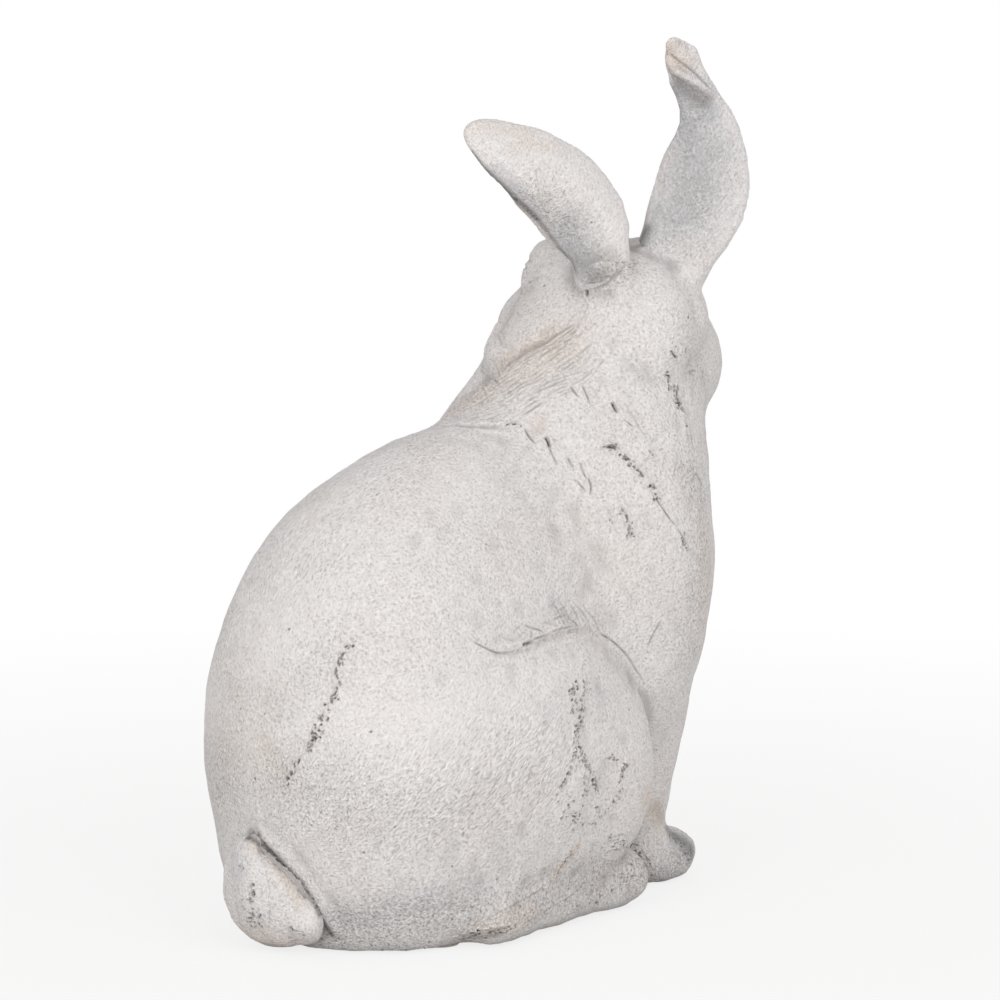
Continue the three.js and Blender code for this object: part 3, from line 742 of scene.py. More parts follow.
@dataclass(frozen=True)
class ChalkWashedResin:
    """Cast polyresin filled with stone powder, under a grey-brown wash and a dry-brushed coat of chalk.

    The eye sees a dull, sandy, nearly white skin without a highlight. Short ridges lie the way of the fur and take
    the chalk on top, while the dirt stays between them, in pits and in creases. The same colours paint the ridges'
    highlight and the shade between them, and the grey and the wash also paint shade under the ears' rims, at their
    feet and near the floor. Sizes are in metres.
    """

    name: str = "chalk_washed_cast_polyresin"
    ground: str = "#DAD6D5"
    # The chalk colour also paints the ridges' highlight, and the colour between them their shade
    chalk: str = "#F3F0EF"
    between: str = "#9A938F"
    warm: str = "#CAB7A6"
    # The grey and the wash colour also paint shade under the ears' rims, at their feet and near the floor
    cool: str = "#A8A9AC"
    wash: str = "#4C4540"
    grit: float = 0.0011  # sand grains of the chalk coat
    ridge: float = 0.00078  # width of the brushed ridges
    stretch: float = 2.9  # how many times longer than wide a ridge is
    lie: float = -45.0  # degrees that the ridges drop from front to back
    pore: float = 0.0095  # distance between open air pores
    cloud: float = 0.045  # patches where the coat is thinner
    relief: float = 0.0021  # height of the ridges, drawn about four times the real one so that soft light shows it
    plain_grain: float = 0.64  # how far the grain stands out where no tint makes it coarser
    coarse_grain: float = 0.65  # what full coarseness adds to that
    chalk_gain: float = 5.0  # how sharply the chalk, and with it a painted highlight, catches on the ridges
    dirt_gain: float = 4.6  # how sharply the dirt, and with it painted shade, fills what lies between them
    chalk_lost: float = 0.6  # share of the chalk that is gone where the skin is grey
    warm_most: float = 0.6  # share of the beige in the warmest patch
    cool_most: float = 0.75  # share of the grey in the greyest one
    pore_reach: float = 0.07  # widest pore, as a share of the distance between pores
    pore_depth: float = 0.55
    roughness: float = 0.88

    def build(self) -> bpy.types.Material:
        """Makes the material.

        Returns:
            The chalk-washed resin, which reads the skin's tints.
        """
        material = new_material(self.name)
        tree = material.node_tree
        place = add_node(tree, "TexCoord", take="Object")
        tint = {t: add_node(tree, "Attribute", take="Fac", attribute_name=t.value) for t in Tint}
        turned = {"Vector": place, "Rotation": (math.radians(self.lie), 0, 0), "Scale": (1.0, self.stretch, 1.0)}
        lie = add_node(tree, "Mapping", turned, vector_type="TEXTURE")

        sand = {"Vector": place, "Scale": 1 / self.grit, "Detail": 2.5, "Roughness": 0.7}
        grit = add_node(tree, "TexNoise", sand)
        brushed = {"Vector": lie, "Scale": 1 / self.ridge, "Detail": 2.0, "Roughness": 0.6, "Distortion": 0.5}
        worm = add_node(tree, "TexNoise", brushed)
        cloud = add_node(tree, "TexNoise", {"Vector": place, "Scale": 1 / self.cloud, "Detail": 3.0})
        spread = {"Vector": place, "Scale": 5 / self.cloud, "Detail": 4.0, "Roughness": 0.65}
        mottle = add_node(tree, "TexNoise", spread)
        grain = add_node(tree, "Mix", {0: tint[Tint.FUR], 2: grit, 3: worm})
        coarse = {0: tint[Tint.GRAIN], 1: self.coarse_grain, 2: self.plain_grain}
        size = add_node(tree, "Math", coarse, operation="MULTIPLY_ADD")
        level = add_node(tree, "Math", {0: grain, 1: 0.5}, operation="SUBTRACT")
        height = add_node(tree, "Math", {0: level, 1: size}, operation="MULTIPLY")

        # Beige and grey patches of the ground; the grey also paints shade under the ears' rims, at their feet and
        # near the floor
        warm = add_node(tree, "Math", {0: cloud, 1: 1.5, 2: -0.74}, operation="MULTIPLY_ADD")
        warm = add_node(tree, "Math", {0: warm, 1: tint[Tint.WARM]}, operation="ADD", use_clamp=True)
        warm = add_node(tree, "Math", {0: warm, 1: self.warm_most}, operation="MULTIPLY")
        patches = {0: warm, 6: linear(self.ground), 7: linear(self.warm)}
        colour = add_node(tree, "Mix", patches, take=2, data_type="RGBA")
        cool = add_node(tree, "Math", {0: mottle, 1: 0.8, 2: -0.42}, operation="MULTIPLY_ADD")
        cool = add_node(tree, "Math", {0: cool, 1: tint[Tint.COOL]}, operation="ADD", use_clamp=True)
        cool = add_node(tree, "Math", {0: cool, 1: self.cool_most}, operation="MULTIPLY")
        colour = add_node(tree, "Mix", {0: cool, 6: colour, 7: linear(self.cool)}, take=2, data_type="RGBA")

        # Chalk on the ridges, dirt between them: also a painted highlight on the ridges and painted shade between
        # them
        above = {0: height, 1: self.chalk_gain, 2: -0.02}
        high = add_node(tree, "Math", above, operation="MULTIPLY_ADD", use_clamp=True)
        worn = add_node(tree, "Math", {0: cool, 1: -self.chalk_lost, 2: 1.0}, operation="MULTIPLY_ADD")
        high = add_node(tree, "Math", {0: high, 1: worn}, operation="MULTIPLY")
        colour = add_node(tree, "Mix", {0: high, 6: colour, 7: linear(self.chalk)}, take=2, data_type="RGBA")
        below = {0: height, 1: -self.dirt_gain, 2: -0.06}
        low = add_node(tree, "Math", below, operation="MULTIPLY_ADD", use_clamp=True)
        colour = add_node(tree, "Mix", {0: low, 6: colour, 7: linear(self.between)}, take=2, data_type="RGBA")

        # Single open pores, each of its own size, and the wash in creases, with the painted shade that the wash
        # tint carries
        cells = {"Vector": place, "Scale": 1 / self.pore, "Randomness": 1.0}
        chance = add_node(tree, "TexVoronoi", cells, "Color")
        reach = add_node(tree, "Math", {0: chance, 1: self.pore_reach}, operation="MULTIPLY")
        near = add_node(tree, "TexVoronoi", cells, "Distance")
        pores = add_node(tree, "Math", {0: near, 1: reach}, operation="LESS_THAN")
        pores = add_node(tree, "Math", {0: pores, 1: self.pore_depth}, operation="MULTIPLY")
        broken = add_node(tree, "Math", {0: grit, 1: 2.4, 2: -0.3}, operation="MULTIPLY_ADD")
        dirt = add_node(tree, "Math", {0: tint[Tint.WASH], 1: broken}, operation="MULTIPLY", use_clamp=True)
        dark = add_node(tree, "Math", {0: pores, 1: dirt}, operation="MAXIMUM")
        colour = add_node(tree, "Mix", {0: dark, 6: colour, 7: linear(self.wash)}, take=2, data_type="RGBA")

        height = add_node(tree, "Math", {0: pores, 1: -0.5, 2: height}, operation="MULTIPLY_ADD")
        bump = add_node(tree, "Bump", {"Height": height, "Strength": 1.0, "Distance": self.relief})
        skin = {"Base Color": colour, "Roughness": self.roughness, "Specular IOR Level": 0.25, "Normal": bump}
        add_node(tree, "OutputMaterial", {"Surface": add_node(tree, "BsdfPrincipled", skin)})
        return material


@dataclass(frozen=True)
class BareResin:
    """Cast polyresin as it came out of an open mould: even, dull, faintly clouded, with small open pores."""

    name: str = "bare_cast_polyresin"
    base: str = "#C4BDB4"
    dark: str = "#9C9388"
    cloud: float = 0.012
    pore: float = 0.004

    def build(self) -> bpy.types.Material:
        """Makes the material."""
        material = new_material(self.name)
        tree = material.node_tree
        place = add_node(tree, "TexCoord", take="Object")
        cloud = add_node(tree, "TexNoise", {"Vector": place, "Scale": 1 / self.cloud, "Detail": 4.0})
        pores = add_node(tree, "TexVoronoi", {"Vector": place, "Scale": 1 / self.pore}, "Distance")
        pit = add_node(tree, "Math", {0: pores, 1: 0.12}, operation="LESS_THAN")
        share = add_node(tree, "Math", {0: cloud, 1: 0.5, 2: pit}, operation="MULTIPLY_ADD", use_clamp=True)
        shades = {0: share, 6: linear(self.base), 7: linear(self.dark)}
        colour = add_node(tree, "Mix", shades, take=2, data_type="RGBA")
        height = add_node(tree, "Math", {0: pit, 1: -1.0, 2: cloud}, operation="MULTIPLY_ADD")
        bump = add_node(tree, "Bump", {"Height": height, "Distance": 0.0002})
        shader = add_node(tree, "BsdfPrincipled", {"Base Color": colour, "Roughness": 0.7, "Normal": bump})
        add_node(tree, "OutputMaterial", {"Surface": shader})
        return material


@dataclass(frozen=True)
class DrawnSteel:
    """Drawn mild steel rod: grey, with fine die lines along its length."""

    name: str = "drawn_mild_steel"
    base: str = "#9A9DA1"
    dull: str = "#84878B"
    line: float = 0.00025

    def build(self) -> bpy.types.Material:
        """Makes the material."""
        material = new_material(self.name)
        tree = material.node_tree
        place = add_node(tree, "TexCoord", take="Object")
        lie = add_node(tree, "Mapping", {"Vector": place, "Scale": (1.0, 1.0, 0.04)})
        lines = add_node(tree, "TexNoise", {"Vector": lie, "Scale": 1 / self.line, "Detail": 2.0})
        rough = add_node(tree, "Math", {0: lines, 1: 0.25, 2: 0.22}, operation="MULTIPLY_ADD")
        bump = add_node(tree, "Bump", {"Height": lines, "Distance": 0.00002})
        shades = {0: lines, 6: linear(self.base), 7: linear(self.dull)}
        colour = add_node(tree, "Mix", shades, take=2, data_type="RGBA")
        metal = {"Base Color": colour, "Metallic": 1.0, "Roughness": rough, "Normal": bump}
        add_node(tree, "OutputMaterial", {"Surface": add_node(tree, "BsdfPrincipled", metal)})
        return material


@dataclass(frozen=True)
class PressedFelt:
    """Pressed undyed wool felt: a dull pale mat of crossing fibres with a soft sheen at its edges."""

    name: str = "pressed_wool_felt"
    base: str = "#A79F94"
    light: str = "#C6BFB5"
    fibre: float = 0.0006  # drawn about three times the real fibre bundle, so that it shows

    def build(self) -> bpy.types.Material:
        """Makes the material."""
        material = new_material(self.name)
        tree = material.node_tree
        place = add_node(tree, "TexCoord", take="Object")
        mat: object = 0.0
        for angle in (20, 75, 130):
            turned = {"Vector": place, "Rotation": (0, 0, math.radians(angle)), "Scale": (1.0, 6.5, 1.0)}
            lie = add_node(tree, "Mapping", turned, vector_type="TEXTURE")
            strand = add_node(tree, "TexNoise", {"Vector": lie, "Scale": 1 / self.fibre, "Detail": 2.0})
            mat = add_node(tree, "Math", {0: mat, 1: strand}, operation="MAXIMUM")
        share = add_node(tree, "Math", {0: mat, 1: 3.0, 2: -1.4}, operation="MULTIPLY_ADD", use_clamp=True)
        shades = {0: share, 6: linear(self.base), 7: linear(self.light)}
        colour = add_node(tree, "Mix", shades, take=2, data_type="RGBA")
        bump = add_node(tree, "Bump", {"Height": mat, "Distance": 0.0004})
        cloth = {"Base Color": colour, "Roughness": 0.95, "Sheen Weight": 0.35, "Normal": bump}
        add_node(tree, "OutputMaterial", {"Surface": add_node(tree, "BsdfPrincipled", cloth)})
        return material


@dataclass(frozen=True)
class PaperSweep:
    """White studio paper that the camera sees as plain white, with the object's shadow left on it."""

    name: str = "studio_paper"
    colour: str = "#DFDEDC"
    near: float = 0.2
    far: float = 0.7
    shown: float = 0.2  # share of the shadow that stays close to the object

    def build(self) -> bpy.types.Material:
        """Makes the material.

        Returns:
            Paper that turns to plain white away from the object.
        """
        material = new_material(self.name)
        tree = material.node_tree
        place = add_node(tree, "TexCoord", take="Object")
        away = add_node(tree, "VectorMath", {0: place}, "Value", operation="LENGTH")
        share = add_node(tree, "MapRange", {0: away, 1: self.near, 2: self.far, 3: 1 - self.shown, 4: 1.0})
        seen = add_node(tree, "LightPath", take="Is Camera Ray")
        share = add_node(tree, "Math", {0: share, 1: seen}, operation="MULTIPLY")
        paper = add_node(tree, "BsdfDiffuse", {"Color": linear(self.colour)})
        white = add_node(tree, "Emission", {"Color": (1.0, 1.0, 1.0, 1.0), "Strength": 1.0})
        add_node(tree, "OutputMaterial", {"Surface": add_node(tree, "MixShader", {0: share, 1: paper, 2: white})})
        return material


# ---------------------------------------------------------------- the rabbit


def body_flow(point: Vector) -> Vector:
    """The way the fur lies on the body: down the breast, back along the flanks and down over the rump."""
    y, z = point.y - SHIFT.y, point.z
    breast = min(max((-y - 0.060) / 0.04, 0.0), 1.0)
    rump = min(max((y - 0.030) / 0.05, 0.0), 1.0)
    high = min(max((z - 0.150) / 0.05, 0.0), 1.0)
    back = 1.0 - breast
    return Vector((0.0, back * (1.0 - 0.6 * rump), -(0.45 + 0.8 * breast + 1.0 * rump + 0.3 * high))).normalized()


def head_flow(_: Vector) -> Vector:
    """The way the fur lies on the head: from the nose back over the cheeks and down to the neck."""
    return HEAD.direction(0.0, 1.0, -0.35)


def nape_flow(point: Vector) -> Vector:
    """The way the fur lies on the nape: down, and outwards over the left shoulder in long strands."""
    left = Vector((0.707, 0.707, 0.0))
    side = (point - HEAD.world(0.0, 12.0, 0.0)).dot(left)
    return (left * min(max(side / 0.02, -0.5), 1.1) + Vector((0.0, 0.0, -0.8))).normalized()


EAR_LEAN = 14.0  # degrees that the ears' stems lean back
PIN_BELOW_ROOT = 5.67  # millimetres from a pin's middle up to its ear's root


def ear_root(side: Side) -> tuple[Vector, Vector]:
    """Where an ear meets the skull, and the direction of its pin, which is two thirds sunk.

    Args:
        side: Which ear.

    Returns:
        The place on the skull and the direction away from it.
    """
    low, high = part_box(f"{side.name.lower()}_ear_pin")
    lean = math.radians(EAR_LEAN)
    up = HEAD.direction(0.0, math.sin(lean), math.cos(lean))
    return (low + high) / 2 + up * PIN_BELOW_ROOT * MM, up


def dress(obj: bpy.types.Object, material: bpy.types.Material, slot: str, *nodes: str) -> bpy.types.Object:
    """Gives a new piece its finish, its body and the CAD nodes that it stands for.

    Args:
        obj: The finished piece.
        material: Its finish.
        slot: The record's material slot. Not used.
        *nodes: The CAD nodes that it replaces.

    Returns:
        The piece.
    """
    obj.data.materials.clear()
    obj.data.materials.append(material)
    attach(obj, ROOT)
    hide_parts(*nodes)
    log.info("%s: %d faces, stands for %s", obj.name, len(obj.data.polygons), ", ".join(nodes))
    return obj


# Tools, as half width, depth, lip, wash and raggedness
HAIR = Tool(0.5, 0.22, 0.20, 0.05)
LOCK = Tool(0.7, 0.42, 0.32, 0.2, 0.3)
HAIRLINE = Tool(0.45, 0.45, 0.20, 0.72, 0.5)
CRACK = Tool(0.45, 0.55, 0.2, 0.85, 0.9)
STRAND = Tool(0.7, 0.45, 0.4, 0.1, 0.4)
SLIT = Tool(0.75, 1.3, 0.35, 1.0, 0.3)
SPLIT = Tool(0.55, 0.7, 0.3, 1.0)
CREASE = Tool(1.6, 0.8, 0.30, 0.18, 0.3)
FOLD = Tool(1.3, 0.7, 0.2, 0.3, 0.4)
TOE = Tool(1.0, 1.4, 0.35, 0.7)
LID = Tool(0.6, 0.65, 0.12, 0.6)
RIM = Tool(0.6, 0.5, 0.2, 0.6, 0.4)
TEAR = Tool(0.7, 0.7, 0.3, 0.5)
SOCKET = Tool(1.2, 0.5, 0.15, 0.1)
NOSE_SLIT = Tool(0.9, 1.3, 0.4, 0.9)
NOSE_LINE = Tool(0.7, 0.7, 0.2, 0.5)
LIPS = Tool(0.9, 1.2, 0.4, 0.7)
LIP_SLIT = Tool(0.8, 1.2, 0.3, 0.8)
WHISKER = Tool(0.55, 0.7, 0.15, 0.8)

# A plain rabbit's nose and mouth, in millimetres of the head's frame, x away from its middle
NOSTRIL: Sequence[Point] = ((1.9, -58, -5.8), (3.4, -57, -3.6), (5.6, -55, -1.8))
NOSE_EDGE: Sequence[Point] = ((0.2, -58, -7.6), (3.0, -57, -7.4), (6.0, -55, -5.6))
MOUTH: Sequence[Point] = (
    (0.4, -57, -15.5),
    (3.4, -56, -18.0),
    (7.0, -53, -19.2),
    (11.0, -48, -19.4),
    (14.0, -42, -18.4),
)
SPLIT_LIP = (-7.2, -9.5, -12, -14.5, -16)  # heights along the middle, from nose to mouth
WHISKER_PITS = [(8, -53 + 3.6 * k + row, -8.6 - 2.7 * row) for row in range(3) for k in range(4)]

# Round an eye, as steps along y and z of the head's frame from the eye's middle: the line that tears run down, and
# the socket's upper and lower edge
EYE_LINES: tuple[tuple[Sequence[tuple[float, float]], Tool], ...] = (
    ([(-7.4, -0.8), (-10.0, -2.6), (-12.0, -5.0)], TEAR),
    ([(-9, 4.4), (-4, 7.4), (3, 7.6)], SOCKET),
    ([(-7, -6), (-2, -7.6), (4, -7)], SOCKET),
)

# Tracts of short fur, thinning out from their middle: the number of strokes, then in millimetres of the modelling
# frame the middle, how far the tract reaches and the shortest and longest stroke, and last how far they stray
FUR_TRACTS: tuple[tuple[int, Point, Point, tuple[float, float], float], ...] = (
    (90, (0, -100, 120), (60, 30, 70), (8, 18), 0.25),
    (50, (-40, -92, 165), (30, 40, 34), (6, 14), 0.3),
    (60, (-56, -5, 112), (24, 40, 20), (5, 11), 0.4),
    (60, (56, -5, 112), (24, 40, 20), (5, 11), 0.4),
)


# Where the picture shows what is carved and tinted on the body, in its pixels. Lengths are in millimetres.
NAPE_MIDDLE: Pixels = ((465, 405), (515, 378), (565, 352))
NAPE: Pixels = ((455, 418), (485, 398), (515, 378), (545, 360), (570, 352))

# Each line with its tool. Those of the legs come on both sides
LEG_LINES: tuple[tuple[Pixels, Tool], ...] = (
    # The fold over the thigh, with strands above it
    ([(472, 640), (480, 645), (490, 650), (500, 653), (510, 652), (521, 648)], HAIRLINE),
    ([(523, 645), (528, 643), (534, 642)], SLIT),
    ([(532, 640), (540, 637), (550, 635)], HAIRLINE),
    ([(524, 625), (532, 628), (539, 630), (545, 635)], HAIRLINE),
    ([(552, 632), (560, 629), (566, 628), (573, 626)], CRACK),
    ([(572, 620), (575, 623), (579, 628)], CRACK),
    ([(490, 655), (520, 651), (550, 638), (575, 630), (600, 633)], CREASE),
    ([(596, 632), (608, 638), (620, 648), (628, 657), (636, 669), (645, 684)], HAIRLINE),
    ([(566, 628), (559, 615), (552, 599)], STRAND),
    ([(574, 626), (566, 612), (557, 597)], STRAND),
    ([(581, 627), (576, 614), (567, 601)], STRAND),
    ([(590, 629), (584, 615), (574, 602)], STRAND),
    ([(600, 633), (593, 619), (583, 607)], STRAND),
    ([(662, 619), (657, 629), (651, 641), (647, 651)], HAIRLINE),
    # The hind foot and the folds that run down to it
    ([(606, 848), (614, 841), (624, 842), (634, 848), (641, 858)], LOCK),
    ([(640, 850), (647, 860), (652, 872)], HAIR),
    ([(576, 882), (590, 864), (605, 846)], HAIR),
    ([(500, 934), (545, 912), (580, 888), (604, 862)], HAIR),
    ([(470, 930), (500, 912), (540, 890), (568, 862)], HAIR),
    ([(604, 856), (612, 850), (622, 850)], HAIRLINE),
    ([(598, 868), (607, 862), (618, 861)], HAIR),
    ([(470, 938), (484, 932), (500, 930), (512, 926)], LOCK),
)
UPPER_LINES: tuple[tuple[Pixels, Tool], ...] = (
    # Slits and short hairs between the shoulders, on the neck and down the side
    ([(545, 436), (548, 441), (550, 448)], SLIT),
    ([(549, 447), (553, 456), (558, 466)], HAIRLINE),
    ([(606, 446), (612, 447), (618, 444)], SLIT),
    ([(656, 498), (662, 507), (668, 516), (677, 527)], CRACK),
    ([(677, 527), (684, 540), (689, 549)], CRACK),
    ([(570, 386), (575, 393), (580, 398)], HAIRLINE),
    ([(582, 385), (587, 396), (591, 406)], HAIRLINE),
    ([(592, 386), (596, 394), (600, 402)], HAIR),
    ([(612, 402), (615, 408), (618, 413)], SLIT),
    ([(622, 418), (628, 422), (634, 427)], CRACK),
    ([(625, 402), (631, 412), (637, 424)], LOCK),
    ([(634, 415), (640, 428), (648, 440)], HAIR),
    ([(567, 457), (572, 466), (574, 471)], HAIRLINE),
    ([(580, 462), (584, 474), (588, 480)], HAIRLINE),
    ([(576, 480), (582, 487), (587, 493)], HAIRLINE),
    ([(588, 477), (591, 487), (590, 496)], HAIRLINE),
    ([(602, 504), (610, 512), (614, 525), (620, 536)], HAIR),
    ([(620, 502), (626, 514), (630, 528), (632, 540), (629, 548)], LOCK),
    ([(524, 427), (529, 436), (537, 445)], CRACK),
    # The fold under the cheek and the one where the back begins
    ([(479, 386), (484, 382), (490, 377), (495, 372)], SLIT),
    ([(484, 384), (495, 371), (512, 358), (530, 346), (552, 338), (570, 328)], CREASE),
    ([(430, 431), (452, 427), (476, 427), (500, 427), (520, 426)], CREASE),
    ([(520, 416), (533, 409), (545, 401)], HAIRLINE),
    ([(694, 472), (699, 480), (703, 488)], HAIRLINE),
    # Tufts of the near forepaw
    ([(681, 843), (689, 846), (694, 854), (693, 864)], LOCK),
    ([(678, 848), (685, 852), (689, 860), (688, 870)], LOCK),
    ([(672, 852), (679, 857), (682, 866)], LOCK),
    ([(664, 826), (672, 833), (684, 838)], LOCK),
    # The joint round the left ear's foot, and what runs out from it
    ([(583, 282), (586, 288), (587, 297)], SLIT),
    ([(582, 288), (598, 285), (614, 276), (628, 262)], FOLD),
    ([(589, 300), (583, 316), (574, 332), (563, 348)], HAIR),
    ([(526, 284), (534, 279), (542, 276)], LOCK),
)

# Large soft corrections: each line with how far it reaches and how far it lifts the skin
FORM_CORRECTIONS: tuple[tuple[Pixels, float, float], ...] = (
    # The notch under the cheek
    ([(470, 381), (480, 376), (490, 370)], 9, -3.6),
    ([(469, 380), (474, 376)], 13, -4.5),
    ([(484, 378), (500, 366), (520, 353), (545, 338)], 6, -1.5),
    # The cheek's edge, and the neck below the right ear and behind it
    ([(500, 330), (494, 342), (490, 356)], 9, 2.4),
    ([(692, 280), (698, 300), (702, 314)], 12, 2.6),
    ([(620, 372), (645, 372), (668, 366)], 15, 1.6),
    # The hind toes
    ([(634, 866), (640, 880), (640, 896)], 12, 3.2),
    # The lip along the tail
    ([(262, 834), (284, 854), (302, 878), (322, 908), (336, 930)], 6, 1.2),
)

# Broken cracks: each line with how far its splits stray and how many it has for each millimetre
CRACKS: tuple[tuple[Pixels, float, float], ...] = (
    # On the thigh
    ([(578, 684), (571, 692), (574, 702), (571, 714)], 0.79, 2.5),
    ([(586, 686), (582, 698), (583, 712), (578, 728)], 0.85, 2.8),
    ([(578, 726), (576, 738), (580, 750), (585, 758)], 0.97, 3.2),
    ([(577, 748), (573, 762), (568, 778), (561, 790)], 0.54, 2.1),
    ([(584, 756), (590, 770), (594, 782), (599, 790)], 0.72, 3.2),
    ([(584, 772), (586, 788), (587, 800)], 0.7, 1.6),
    ([(610, 756), (618, 762), (627, 767)], 0.54, 1.5),
    ([(624, 764), (621, 778), (620, 792), (612, 803)], 0.54, 2.0),
    # On the back
    ([(352, 644), (345, 650), (341, 660), (336, 672)], 0.6, 1.8),
    ([(336, 672), (339, 684), (335, 697)], 0.6, 1.6),
    ([(333, 698), (325, 711), (318, 724), (312, 740)], 0.7, 2.2),
    ([(328, 720), (316, 738), (306, 752)], 0.6, 1.8),
    ([(298, 762), (292, 774), (286, 786)], 0.47, 1.5),
    # On the neck, the shoulders and the side
    ([(671, 351), (676, 356)], 0.47, 2.1),
    ([(664, 368), (667, 380), (668, 392)], 0.6, 2.1),
    ([(676, 386), (675, 396), (682, 406)], 0.85, 3.7),
    ([(674, 396), (678, 404), (684, 412)], 0.72, 2.8),
    ([(690, 373), (697, 369)], 0.47, 1.7),
    ([(684, 349), (688, 346)], 0.35, 1.7),
    ([(682, 410), (686, 426)], 0.47, 1.0),
    ([(606, 448), (614, 446), (622, 455)], 0.6, 2.8),
    ([(622, 455), (632, 465), (644, 476)], 0.85, 2.1),
    ([(646, 484), (654, 486), (658, 500)], 0.85, 2.1),
    ([(650, 453), (655, 456)], 0.35, 1.8),
    ([(505, 424), (514, 423), (527, 428)], 0.47, 1.0),
    ([(612, 520), (622, 512), (630, 528), (628, 542)], 0.72, 1.4),
    ([(686, 530), (682, 541), (690, 552)], 0.6, 1.3),
    # On the paws, and strewn along the flank's lower edge
    ([(668, 828), (684, 842), (692, 858), (688, 872)], 1.6, 2.6),
    ([(606, 846), (616, 840), (632, 846), (642, 858), (648, 874)], 1.3, 1.3),
    ([(466, 936), (482, 934), (500, 932), (516, 926)], 1.1, 2.4),
    ([(556, 872), (566, 858), (576, 846)], 0.8, 1.2),
    ([(610, 868), (624, 872), (634, 884)], 2.2, 0.7),
    ([(622, 880), (600, 898), (570, 910)], 1.6, 0.6),
    ([(300, 936), (360, 944), (440, 944)], 1.6, 0.5),
    ([(467, 876), (470, 879)], 0.5, 0.8),
    ([(489, 884), (493, 888)], 0.6, 0.9),
    ([(556, 808), (582, 822), (606, 808)], 2.4, 1.0),
    ([(560, 800), (574, 816), (596, 826)], 2.0, 0.8),
)

# Each patch of tint with its radius and its amount
BODY_TINTS: tuple[Patch, ...] = (
    # The nape, the fold under the cheek and the thigh's fold
    (Tint.WARM, [(440, 420), (490, 392), (530, 366), (560, 346)], 19, 0.5),
    (Tint.WARM, [(486, 376), (500, 362), (530, 344), (552, 330)], 5, 0.7),
    (Tint.WARM, [(536, 432), (540, 420)], 5, 0.8),
    (Tint.WARM, [(534, 245), (532, 262)], 9, 0.6),
    (Tint.WARM, [(555, 636), (600, 640)], 7, 0.3),
    # The feet
    (Tint.WARM, [(552, 876), (564, 862), (577, 846)], 5, 1.0),
    (Tint.WARM, [(464, 936), (484, 930), (506, 922), (530, 914)], 8, 0.8),
    (Tint.WARM, [(600, 880), (620, 862), (640, 866), (636, 884)], 14, 0.45),
    (Tint.WARM, [(646, 796), (656, 812), (662, 830)], 9, 0.8),
    (Tint.WASH, [(462, 938), (482, 936), (500, 932)], 3.5, 0.45),
    (Tint.WASH, [(668, 828), (686, 840), (694, 856), (690, 872)], 5.5, 0.42),
    (Tint.WASH, [(656, 806), (662, 820)], 3.5, 0.25),
    (Tint.COOL, [(552, 602), (560, 612), (568, 622)], 5, 0.5),
    # The flanks
    (Tint.WARM, [(240, 690), (262, 740), (280, 770)], 14, 0.25),
    (Tint.WARM, [(700, 520), (704, 600), (694, 680)], 10, 0.35),
    (Tint.COOL, [(500, 850), (560, 830), (600, 790)], 22, 0.2),
    (Tint.COOL, [(560, 720), (600, 700)], 18, 0.25),
    (Tint.COOL, [(676, 838), (690, 852), (692, 868)], 9, 1.0),
    # Painted shade: greyer along the lower edge, near the floor
    (Tint.COOL, [(320, 925), (400, 905), (470, 890)], 17, 0.55),
    # The ears' feet: painted shade in the corners where they meet the head, and coarser grain
    # Painted shade in the fold at the left ear's foot
    (Tint.COOL, [(572, 258), (580, 272), (592, 280)], 11, 0.9),
    (Tint.GRAIN, [(570, 256), (582, 276), (600, 276), (624, 262)], 13, 0.9),
    (Tint.WASH, [(572, 262), (580, 274), (592, 278), (602, 274)], 7, 0.26),
    # Grey and painted shade at the right ear's foot and in the V between the ears
    (Tint.COOL, [(652, 252), (676, 258), (692, 254)], 11, 0.3),
    (Tint.WASH, [(630, 244), (634, 250)], 4, 0.5),
    # The groove along the tail
    (Tint.WASH, [(252, 832), (273, 849), (291, 873), (306, 894), (321, 917), (333, 934)], 2.2, 0.9),
    # Where the grain is coarse, and where it runs along the fur
    (Tint.GRAIN, [(290, 790), (380, 830), (470, 820), (530, 780)], 44, 0.6),
    (Tint.GRAIN, [(230, 620), (232, 700), (250, 790)], 18, 0.4),
    (Tint.GRAIN, [(270, 560), (320, 480), (400, 440)], 26, 0.4),
    (Tint.GRAIN, [(690, 470), (700, 560), (690, 650)], 14, 0.4),
    (Tint.GRAIN, [(690, 330), (700, 380)], 14, 0.3),
    (Tint.GRAIN, [(330, 925), (420, 915), (560, 890), (640, 870)], 18, 0.8),
    (Tint.GRAIN, [(620, 860), (650, 880), (690, 850)], 16, 0.6),
    (Tint.FUR, [(260, 620), (320, 520), (420, 450)], 40, 0.6),
    (Tint.FUR, [(290, 790), (380, 800), (470, 790), (530, 760)], 50, 0.8),
)


@dataclass(frozen=True)
class Toes:
    """The three grooves between a foot's toes, in millimetres and degrees."""

    middle: Point
    spread: float  # from one groove to the next
    first: float  # the angle above the ground at which the middle groove begins
    last: float  # and ends
    fan: float = 0.10  # how far the outer grooves turn outwards
    outer: float = 1.15  # where they lie, as a share of the spread
    shorter: float = 14.0  # how much sooner they end


